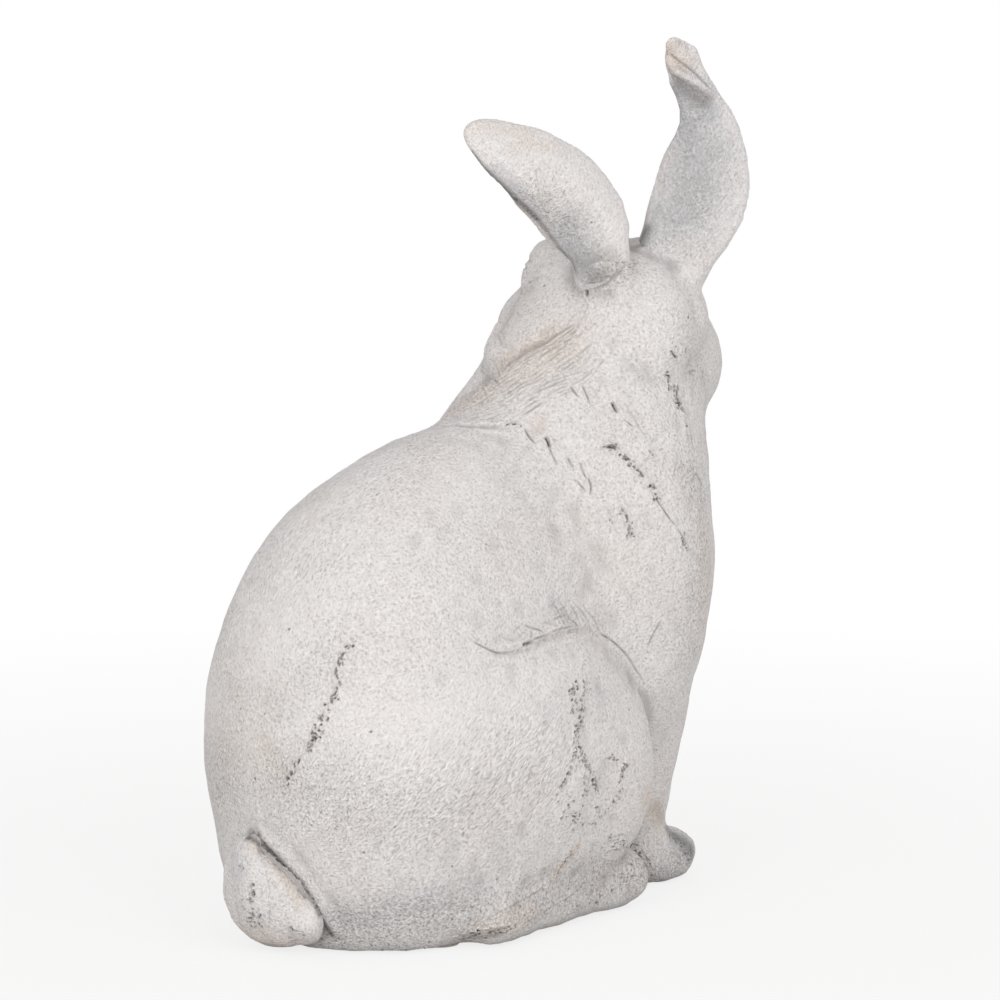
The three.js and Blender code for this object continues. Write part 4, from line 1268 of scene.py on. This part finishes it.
@dataclass
class BodyCasting:
    """The hollow casting of body, legs, paws and head, in millimetres."""

    voxel: float = 0.85
    triangles: int = 194_000
    plug_margin: float = 4.0
    plug_base: float = 6.0
    plug_height: float = 5.0
    putty_height: float = 6.5  # how far the putty climbs an ear's foot
    putty_skin: float = 0.4  # how far it stands out from the foot
    putty_reach: float = 21.0  # how far from the joint it was smoothed
    toes: tuple[Toes, Toes] = (Toes((20.0, -105.0, 9.0), 5.4, -28, 62), Toes((38.0, -52.0, 11.0), 5.8, -28, 58))
    eye: Point = (20.0, -22.5, 11.0)
    eye_length: float = 6.6
    eye_height: float = 4.8
    fine_tool: float = 1.3  # tools narrower than this, in half width, need a finer skin
    fine_reach: tuple[float, float] = (3.4, 1.9)  # how far from their lines the facets are halved, once and again
    nape_reach: float = 16.0
    nape_fur: tuple[float, float] = (9.0, 17.0)  # where the nape's fur begins to thin out, and where it ends
    waves: tuple[Point, Point] = ((34, 0.35), (13, 0.14))  # length and height of the casting's slow unevenness
    crown: Sequence[Point] = ((-3, 2), (-8, -8), (-14, -16))  # x and y of the head along the skull's top
    crown_reach: float = 13.0
    crown_lift: float = -4.0
    thigh_top: float = 130.0  # cracks below this height,
    thigh_from: float = 420.0  # and right of this pixel of the picture, come on both sides,
    crack_shift: Point = (0.0, 6.0, 4.0)  # a little away from the mirrored place
    mirror_below: float = 190.0  # the turned head's tints stay on the side where they are seen

    def putty(self, side: Side) -> bpy.types.Object:
        """The foot of an ear, a little swollen, as the putty that was smoothed round its joint.

        Args:
            side: Which ear.

        Returns:
            The lump, to be joined to the body.
        """
        obj = copy_of(f"{side.name.lower()}_ear", f"putty_{side.name.lower()}")
        root, up = ear_root(side)
        top = root + up * self.putty_height * MM
        with editing(obj):
            bpy.ops.mesh.bisect(plane_co=top, plane_no=up, use_fill=True, clear_outer=True)
        apply_modifier(obj, "DISPLACE", strength=self.putty_skin * MM, mid_level=0.0)
        return obj

    def plug(self) -> bpy.types.Object:
        """A disc that closes the casting hole above the plate, so that only the casting's outside is left."""
        low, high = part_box("base_plate")
        middle = (low + high) / 2
        deselect()
        bpy.ops.mesh.primitive_cylinder_add(
            vertices=96,
            radius=1.0,
            depth=self.plug_height * MM,
            location=(middle.x, middle.y, (self.plug_base + self.plug_height / 2) * MM),
            scale=((high.x - low.x) / 2 - self.plug_margin * MM, (high.y - low.y) / 2 - self.plug_margin * MM, 1.0),
        )
        obj = bpy.context.active_object
        settle(obj)
        return obj

    def outer_skin(self) -> bpy.types.Object:
        """The casting's outside with the putty of both ears, meshed evenly.

        Returns:
            The skin, before any mark.
        """
        obj = copy_of("body_casting", "rabbit_body")
        join(obj, self.plug(), *(self.putty(side) for side in Side))
        remesh(obj, self.voxel)
        keep_outer_shell(obj)
        relax(obj, 30, smooth_step(coordinates(obj)[:, 2], 1.6 * MM, 5.0 * MM))
        reach = self.putty_reach * MM
        for side in Side:
            away = np.linalg.norm(coordinates(obj) - np.array(ear_root(side)[0]), axis=1)
            relax(obj, 45, 1 - smooth_step(away, 0.78 * reach, reach), 0.0)
        return obj

    def build(self, material: bpy.types.Material) -> bpy.types.Object:
        """Makes the body.

        Args:
            material: Its finish.

        Returns:
            The finished body.
        """
        obj = self.outer_skin()
        relief = Relief(obj, seed=11)
        fine = [line for line, tool in self.drawn_lines(relief) if tool.width < self.fine_tool]
        fine += [line for line, _, _ in self.cracks(relief)]
        for reach in self.fine_reach:
            relief.refine(fine, reach)
        relief.refine([relief.drawn(NAPE_MIDDLE)], self.nape_reach)
        self.true_up(relief)
        for length, height in self.waves:
            relief.unevenness(length, height)
        for line, tool in self.drawn_lines(relief):
            relief.carve(line, tool)
        self.carve_toes(relief)
        self.carve_face(relief)
        self.comb_fur(relief)
        for line, radius, density in self.cracks(relief):
            relief.shatter(line, radius, density, SPLIT)
        self.tint_skin(relief)
        relief.soak(2.5, 0.35)
        relief.finish(self.triangles)
        return dress(obj, material, "chalk_resin", "body_casting")

    def drawn_lines(self, relief: Relief) -> list[tuple[Array, Tool]]:
        """The creases, hair lines, slits and locks, laid on the skin.

        Args:
            relief: The skin.

        Returns:
            Each line with its tool. Those of the legs come on both sides.
        """
        lines = []
        for pixels, tool in LEG_LINES:
            line = relief.drawn(pixels)
            if len(line) > 1:
                lines += [(line, tool), (relief.mirrored(line), tool)]
        lines += [(relief.drawn(pixels), tool) for pixels, tool in UPPER_LINES]
        return [(line, tool) for line, tool in lines if len(line) > 1]

    def carve_toes(self, relief: Relief) -> None:
        """Three grooves part the toes of each paw."""
        for side in Side:
            for toes in self.toes:
                x, y, z = toes.middle
                middle = Vector((side.value * x, y, z)) * MM + SHIFT
                for step in (-toes.outer, 0.0, toes.outer):
                    line = []
                    for angle in np.radians(np.linspace(toes.first, toes.last - toes.shorter * abs(step), 7)):
                        out = Vector((side.value * toes.fan * step, -math.cos(angle), math.sin(angle))).normalized()
                        spot = relief.struck(middle + Vector((step * toes.spread * MM, 0, 0)) + out * 40 * MM, -out)
                        if spot is not None:
                            line.append(tuple(spot))
                    relief.carve(np.array(line).reshape(-1, 3), TOE)

    def true_up(self, relief: Relief) -> None:
        """Corrects the form softly: the notch under the cheek, the crown, the neck below the ear."""
        for pixels, radius, height in FORM_CORRECTIONS:
            relief.swell(relief.drawn(pixels), radius, height)
        above = [HEAD.world(x, y, 80) for x, y in self.crown]
        struck = [relief.struck(place, HEAD.direction(0, 0, -1)) for place in above]
        line = np.array([tuple(spot) for spot in struck if spot is not None])
        relief.swell(line, self.crown_reach, self.crown_lift)

    def cracks(self, relief: Relief) -> list[tuple[Array, float, float]]:
        """The broken cracks of the thigh, the back and the neck, laid on the skin.

        Args:
            relief: The skin.

        Returns:
            Each crack with how far it strays and how dense it is. Those of the thigh and foot come on both sides.
        """
        found = []
        for pixels, radius, density in CRACKS:
            line = relief.drawn(pixels)
            if len(line) > 1:
                found.append((line, radius, density))
                if line[:, 2].max() < self.thigh_top * MM and pixels[0][0] > self.thigh_from:
                    shifted = line + np.array(self.crack_shift) * MM
                    found.append((relief.mirrored(shifted), radius, density))
        return found

    def carve_face(self, relief: Relief) -> None:
        """Eyes with lids, nostrils, split lip and whisker pits: a plain rabbit's face, alike on both sides."""
        x0, y0, z0 = self.eye
        for side in Side:
            s = side.value

            def lay(points: Sequence[Point], way: Point = (1.0, 0.0, 0.0)) -> Array:
                """A line of the face, given in the head's frame, laid on the skin from outside."""
                out = HEAD.direction(s * way[0], way[1], way[2])
                struck = [relief.struck(HEAD.world(s * x, y, z) + out * 60 * MM, -out) for x, y, z in points]
                return np.array([tuple(p) for p in struck if p is not None]).reshape(-1, 3)

            ring = []
            for t in np.linspace(1.3, 2 * math.pi - 1.3, 19):
                lift = self.eye_height * math.sin(t) * (1 - 0.12 * math.cos(t))
                ring.append((x0, y0 + self.eye_length * math.cos(t) - 0.8 * math.sin(t), z0 + lift))
            relief.carve(lay(ring), LID)
            for steps, tool in EYE_LINES:
                relief.carve(lay([(x0, y0 + y, z0 + z) for y, z in steps]), tool)
            front = (0.35, -1.0, 0.0)
            relief.carve(lay(NOSTRIL, front), NOSE_SLIT)
            relief.carve(lay(NOSE_EDGE, front), NOSE_LINE)
            relief.carve(lay(MOUTH, (0.6, -1.0, -0.15)), LIPS)
            for spot in lay(WHISKER_PITS, (0.8, -0.8, 0.0)):
                relief.pit(spot, WHISKER)
            relief.comb(110, lambda points, s=s: self.cheek_region(points, s), head_flow, HAIR, (5, 11))
        split = [relief.struck(HEAD.world(0, -100, z), HEAD.direction(0, 1, 0)) for z in SPLIT_LIP]
        relief.carve(np.array([tuple(p) for p in split if p is not None]), LIP_SLIT)

    @staticmethod
    def cheek_region(points: Array, side: int) -> Array:
        """Where the fur of one cheek shows."""
        local = HEAD.local(points)
        x, y, z = local[:, 0] * side, local[:, 1], local[:, 2]
        ahead = smooth_step(y, -46, -30) * (1 - smooth_step(y, -2, 12))
        return smooth_step(x, 4, 12) * ahead * (1 - smooth_step(z, 2, 16)) * smooth_step(z, -48, -36)

    def comb_fur(self, relief: Relief) -> None:
        """Short strokes of fur where the picture shows them, and the same on the hidden sides."""

        def tract(centre: Point, size: Point) -> Callable[[Array], Array]:
            """A soft region round a place, in millimetres of the modelling frame."""

            def chance(points: Array) -> Array:
                """The chance of a stroke at each point."""
                middle = np.array(centre) * MM + np.array(SHIFT)
                away = np.linalg.norm((points - middle) / (np.array(size) * MM), axis=1)
                return 1 - smooth_step(away, 0.4, 1.0)

            return chance

        close = np.zeros(len(relief.points))
        full, end = self.nape_fur
        index, distance, _ = relief.around(relief.drawn(NAPE), end * MM)
        close[index] = 1 - smooth_step(distance, full * MM, end * MM)
        relief.comb(210, lambda _: close, nape_flow, HAIR, (7, 16), 0.1)
        for count, middle, size, length, stray in FUR_TRACTS:
            relief.comb(count, tract(middle, size), body_flow, HAIR, length, stray)

    def tint_skin(self, relief: Relief) -> None:
        """Where the coat is warm, grey or coarse, and the painted shade that greys and darkens it towards the
        floor.
        """
        relief.paint(BODY_TINTS, self.mirror_below)
        height = relief.points[:, 2] / MM
        # Painted shade near the floor: the skin greys below 14 mm and darkens below 5 mm
        foot = 1 - smooth_step(height, 2.0, 14.0)
        relief.tints[Tint.COOL] = np.maximum(relief.tints[Tint.COOL], 0.3 * foot)
        relief.darken(np.arange(len(height)), 0.25 * (1 - smooth_step(height, 1.0, 5.0)))


# The ears' forms, each line with how far it reaches and how far it lifts the skin. The right ear's tip is turned
# over: a thick rim across the ear, with a hollow below it
TIP_RIM: Pixels = ((672, 56), (684, 65), (697, 75), (708, 87))
EAR_FORMS: dict[Side, tuple[tuple[Pixels, float, float], ...]] = {
    Side.LEFT: (([(498, 172), (512, 186), (522, 198)], 13, 1.5),),
    Side.RIGHT: (
        ([(664, 54), (663, 64), (668, 76)], 5.0, -1.5),
        ([(684, 43), (690, 47)], 5.0, -1.6),
        ([(668, 62), (674, 72), (687, 79), (700, 86), (711, 94)], 2.8, 1.3),
        ([(676, 82), (688, 89), (700, 96), (709, 102)], 3.8, -1.9),
    ),
}

# A warm tip, the grey that the wash left on the ears' backs, grey with painted shade along the left ear's lower
# edge where its rim turns under, and painted shade at both ears' feet and below the right ear's turned-over rim
EAR_TINTS: dict[Side, tuple[Patch, ...]] = {
    Side.LEFT: (
        (Tint.WARM, [(468, 128), (490, 126), (530, 134)], 7, 0.5),
        (Tint.WARM, [(512, 146), (552, 146)], 5, 0.5),
        (Tint.COOL, [(564, 230), (576, 250), (590, 266)], 15, 1.0),
        # Grey with painted shade along the lower edge, where the rim turns under
        (Tint.COOL, [(494, 172), (520, 194), (546, 222), (572, 254)], 7, 0.8),
        (Tint.WASH, [(472, 152), (482, 164), (496, 178), (511, 192), (525, 205), (538, 220)], 2.0, 0.75),
        (Tint.WASH, [(538, 220), (552, 238), (566, 256), (576, 270)], 1.8, 0.6),
        # Painted shade in the fold at the ear's foot
        (Tint.WASH, [(572, 258), (588, 264), (608, 258)], 9.0, 0.22),
        (Tint.GRAIN, [(540, 200), (576, 236), (596, 268)], 18, 0.8),
    ),
    Side.RIGHT: (
        (Tint.WARM, [(668, 46), (672, 58), (684, 66)], 7, 0.7),
        # Painted shadow below the turned-over rim of the tip
        (Tint.COOL, [(678, 94), (692, 106), (708, 116)], 12, 1.0),
        (Tint.COOL, [(684, 116), (698, 150), (694, 190), (680, 214)], 24, 1.0),
        (Tint.COOL, [(700, 214), (688, 232), (670, 240)], 12, 0.6),
        # Painted shadow right under the rim
        (Tint.WASH, [(677, 86), (690, 93), (704, 101)], 5.0, 0.5),
        # Painted shade in the corner where the ear's foot meets the head
        (Tint.COOL, [(638, 250), (646, 240), (654, 226), (660, 210)], 8, 1.0),
        (Tint.WASH, [(632, 252), (640, 240), (647, 228)], 3.6, 0.55),
        (Tint.GRAIN, [(690, 110), (705, 160), (680, 240)], 24, 0.6),
    ),
}


@dataclass
class Ear:
    """An ear cast apart: a cupped blade on a stem that is let into the skull, in millimetres."""

    side: Side
    voxel: float = 0.6
    triangles: int = 60_000
    fur: float = 0.35  # how much the grain runs along the fur

    def node(self) -> str:
        """The CAD node's name."""
        return f"{self.side.name.lower()}_ear"

    def build(self, material: bpy.types.Material) -> bpy.types.Object:
        """Makes the ear.

        Args:
            material: Its finish.

        Returns:
            The finished ear.
        """
        obj = copy_of(self.node(), f"rabbit_{self.node()}")
        remesh(obj, self.voxel)
        relax(obj, 26)
        relief = Relief(obj, seed=23 + self.side.value)
        relief.unevenness(16, 0.2)
        for pixels, radius, height in EAR_FORMS[self.side]:
            relief.swell(relief.drawn(pixels), radius, height)
        if self.side is Side.RIGHT:
            relief.carve(relief.drawn(TIP_RIM), RIM, closed=True)
        relief.paint(EAR_TINTS[self.side])
        relief.tints[Tint.FUR][:] = self.fur
        relief.soak(2.0, 0.3)
        relief.finish(self.triangles)
        return dress(obj, material, "chalk_resin", self.node())


# The hollow along the rump and the foot below it, the cracks, and the dirt where the tail meets the rump
TAIL_FORMS: tuple[tuple[Pixels, float, float], ...] = (
    ([(268, 846), (284, 860), (298, 874), (310, 890)], 8, -4.0),
    ([(308, 924), (311, 934)], 8, 4.0),
)
TAIL_CRACKS: tuple[tuple[Pixels, float, float], ...] = (
    ([(250, 884), (254, 892), (251, 902)], 0.5, 2.2),
    ([(246, 908), (254, 914), (250, 922), (262, 930)], 1.0, 2.0),
    ([(240, 866), (246, 869)], 0.3, 1.0),
    ([(290, 926), (306, 930)], 0.7, 1.0),
)
TAIL_TINTS: tuple[Patch, ...] = (
    (Tint.WARM, [(236, 842), (252, 846), (268, 858), (284, 878), (300, 905)], 5, 0.7),
    (Tint.COOL, [(234, 862), (238, 880)], 8, 0.5),
    (Tint.WASH, [(248, 838), (262, 844), (284, 861)], 2.4, 0.85),
    (Tint.WASH, [(284, 861), (299, 873), (312, 893), (318, 912)], 2.4, 0.85),
)


@dataclass
class Tail:
    """The tail, a teardrop tuft cast apart, in millimetres."""

    voxel: float = 0.6
    triangles: int = 50_000
    fur: float = 0.3  # how much the grain runs along the fur
    grain: float = 0.25  # how coarse it stands out

    def build(self, material: bpy.types.Material) -> bpy.types.Object:
        """Makes the tail.

        Args:
            material: Its finish.

        Returns:
            The finished tail.
        """
        obj = copy_of("tail", "rabbit_tail")
        remesh(obj, self.voxel)
        relax(obj, 26, smooth_step(coordinates(obj)[:, 2], 1.6 * MM, 4.0 * MM))
        relief = Relief(obj, seed=31)
        relief.unevenness(14, 0.3)
        for pixels, radius, height in TAIL_FORMS:
            relief.swell(relief.drawn(pixels), radius, height)
        relief.comb(24, lambda points: smooth_step(points[:, 2], 3 * MM, 12 * MM), self.lie, HAIR, (6, 12))
        relief.tints[Tint.FUR][:] = self.fur
        relief.tints[Tint.GRAIN][:] = self.grain
        for pixels, radius, density in TAIL_CRACKS:
            relief.shatter(relief.drawn(pixels), radius, density, SPLIT)
        height = relief.points[:, 2] / MM
        relief.tints[Tint.WARM] = np.maximum(relief.tints[Tint.WARM], 0.6 * (1 - smooth_step(height, 4.0, 16.0)))
        relief.paint(TAIL_TINTS)
        # Painted shade: the tail darkens towards the floor
        relief.darken(np.arange(len(height)), 0.3 * (1 - smooth_step(height, 1.0, 6.0)))
        relief.soak(2.0, 0.35)
        relief.finish(self.triangles)
        return dress(obj, material, "chalk_resin", "tail")

    @staticmethod
    def lie(point: Vector) -> Vector:
        """The fur of the tail falls from its tip."""
        return Vector((point.x * 12, 0.35, -1.0)).normalized()


@dataclass
class ClosingPlate:
    """The resin plate glued into the rebate of the underside."""

    edge: float = 0.6  # millimetres broken off its edges

    def build(self, material: bpy.types.Material) -> bpy.types.Object:
        """Makes the plate.

        Args:
            material: Its finish.

        Returns:
            The finished plate.
        """
        obj = copy_of("base_plate", "closing_plate")
        sharp = math.radians(50)
        apply_modifier(obj, "BEVEL", width=self.edge * MM, segments=3, limit_method="ANGLE", angle_limit=sharp)
        activate(obj)
        bpy.ops.object.shade_smooth_by_angle(angle=math.radians(35))
        return dress(obj, material, "bare_resin", "base_plate")


@dataclass
class FeltPad:
    """A self-adhesive felt disc: cut edges, a soft crowned face and a fuzzy rim, in millimetres."""

    node: str
    crown: float = 0.12  # how far the faces fall off towards the rim
    edge: float = 0.28  # the rounding of the cut edge
    step: float = 1.5  # between the rings of a face
    fuzz: float = 0.05  # how far the rim's fibres stand out

    def build(self, material: bpy.types.Material) -> bpy.types.Object:
        """Makes the pad in the place of its CAD solid.

        Args:
            material: Its finish.

        Returns:
            The finished pad.
        """
        low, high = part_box(self.node)
        middle = (low + high) / 2
        deselect()
        bpy.ops.mesh.primitive_cylinder_add(
            vertices=64, radius=(high.x - low.x) / 2, depth=high.z - low.z, location=middle, end_fill_type="NGON"
        )
        obj = bpy.context.active_object
        obj.name = obj.data.name = self.node.replace("felt_pad", "felt_disc")
        settle(obj)
        with editing(obj, mode="EDGE"):
            bpy.ops.mesh.bevel(offset=self.edge * MM, segments=3, affect="EDGES", clamp_overlap=True)
            bpy.ops.mesh.select_mode(type="FACE")
        for polygon in obj.data.polygons:
            polygon.select = len(polygon.vertices) > 8
        with editing(obj, "KEEP"):
            for _ in range(3):
                bpy.ops.mesh.inset(thickness=self.step * MM, depth=0.0)
        points = coordinates(obj)
        away = np.linalg.norm(points[:, :2] - np.array(middle)[:2], axis=1) / ((high.x - low.x) / 2)
        points[:, 2] += np.sign(middle.z - points[:, 2]) * self.crown * MM * away**4
        random = np.random.default_rng(5)
        rim = away > 0.9
        points[rim, :2] += random.normal(0.0, self.fuzz * MM, (int(rim.sum()), 2))
        place_points(obj, points)
        activate(obj)
        bpy.ops.object.shade_smooth_by_angle(angle=math.radians(50))
        return dress(obj, material, "felt", self.node)


@dataclass
class Dowels:
    """The two steel pins in the ears' joints, kept as the CAD model has them."""

    nodes: tuple[str, ...] = ("left_ear_pin", "right_ear_pin")

    def build(self, material: bpy.types.Material) -> None:
        """Gives the pins their finish."""
        for name in self.nodes:
            pin = frame["nodes"][name]
            pin.data.materials.clear()
            pin.data.materials.append(material)
            log.info("%s keeps its CAD shape", name)


@dataclass(frozen=True)
class Lamp:
    """A square soft light: where it stands and its side, in metres, and its power in watts."""

    name: str
    place: Point
    size: float
    power: float


@dataclass
class Studio:
    """Plain pale floor, soft light and the camera."""

    floor_size: float = 60.0
    world_strength: float = 0.70
    lamps: tuple[Lamp, ...] = (
        Lamp("key", (-0.5, 1.75, 0.65), 0.8, 12.8),
        Lamp("front", (-1.7, 0.25, 0.55), 1.4, 13.5),
    )
    middle: Point = (0.0, 0.0, 0.15)  # what the lamps look at

    def build(self) -> None:
        """Makes the floor, the lights and the camera."""
        self.floor()
        for lamp in self.lamps:
            self.light(lamp)
        self.world()
        self.camera()
        bpy.context.scene.view_settings.view_transform = "Standard"

    def floor(self) -> None:
        """A sheet of studio paper that the rabbit stands on."""
        deselect()
        bpy.ops.mesh.primitive_plane_add(size=self.floor_size)
        floor = bpy.context.active_object
        floor.name = "studio_floor"
        floor.data.materials.append(PaperSweep().build())

    def light(self, lamp: Lamp) -> None:
        """Sets one soft light up and turns it to the rabbit's middle.

        Args:
            lamp: The light.
        """
        data = bpy.data.lights.new(lamp.name, "AREA")
        data.shape = "SQUARE"
        data.size = lamp.size
        data.energy = lamp.power
        obj = bpy.data.objects.new(lamp.name, data)
        bpy.context.scene.collection.objects.link(obj)
        obj.location = lamp.place
        obj.rotation_euler = (Vector(lamp.place) - Vector(self.middle)).to_track_quat("Z", "Y").to_euler()

    def world(self) -> None:
        """Even light from all round, which the camera and mirrors see as plain white."""
        world = bpy.data.worlds.new("studio")
        world.use_nodes = True
        tree = world.node_tree
        tree.nodes.clear()
        seen: object = 0.0
        for kind in ("Is Camera Ray", "Is Glossy Ray", "Is Transmission Ray"):
            ray = add_node(tree, "LightPath", take=kind)
            seen = add_node(tree, "Math", {0: seen, 1: ray}, operation="MAXIMUM")
        soft = add_node(tree, "Background", {"Color": (1.0, 1.0, 1.0, 1.0), "Strength": self.world_strength})
        white = add_node(tree, "Background", {"Color": (1.0, 1.0, 1.0, 1.0), "Strength": 1.0})
        add_node(tree, "OutputWorld", {"Surface": add_node(tree, "MixShader", {0: seen, 1: soft, 2: white})})
        bpy.context.scene.world = world

    def camera(self) -> None:
        """The picture's viewpoint."""
        data = bpy.data.cameras.new("camera")
        data.sensor_width = 36.0
        data.lens = VIEW.focal * data.sensor_width / IMAGE
        camera = bpy.data.objects.new("camera", data)
        bpy.context.scene.collection.objects.link(camera)
        camera.matrix_world = Matrix.Translation(VIEW.place()) @ VIEW.turn().to_4x4()
        bpy.context.scene.camera = camera


def main() -> None:
    """Builds the rabbit and its studio, piece by piece."""
    resin = ChalkWashedResin().build()
    BodyCasting().build(resin)
    for side in Side:
        Ear(side).build(resin)
    Tail().build(resin)
    ClosingPlate().build(BareResin().build())
    felt = PressedFelt().build()
    for node in sorted(frame["nodes"]):
        if node.startswith("felt_pad"):
            FeltPad(node).build(felt)
    Dowels().build(DrawnSteel().build())
    Studio().build()


if __name__ == "__main__":
    main()
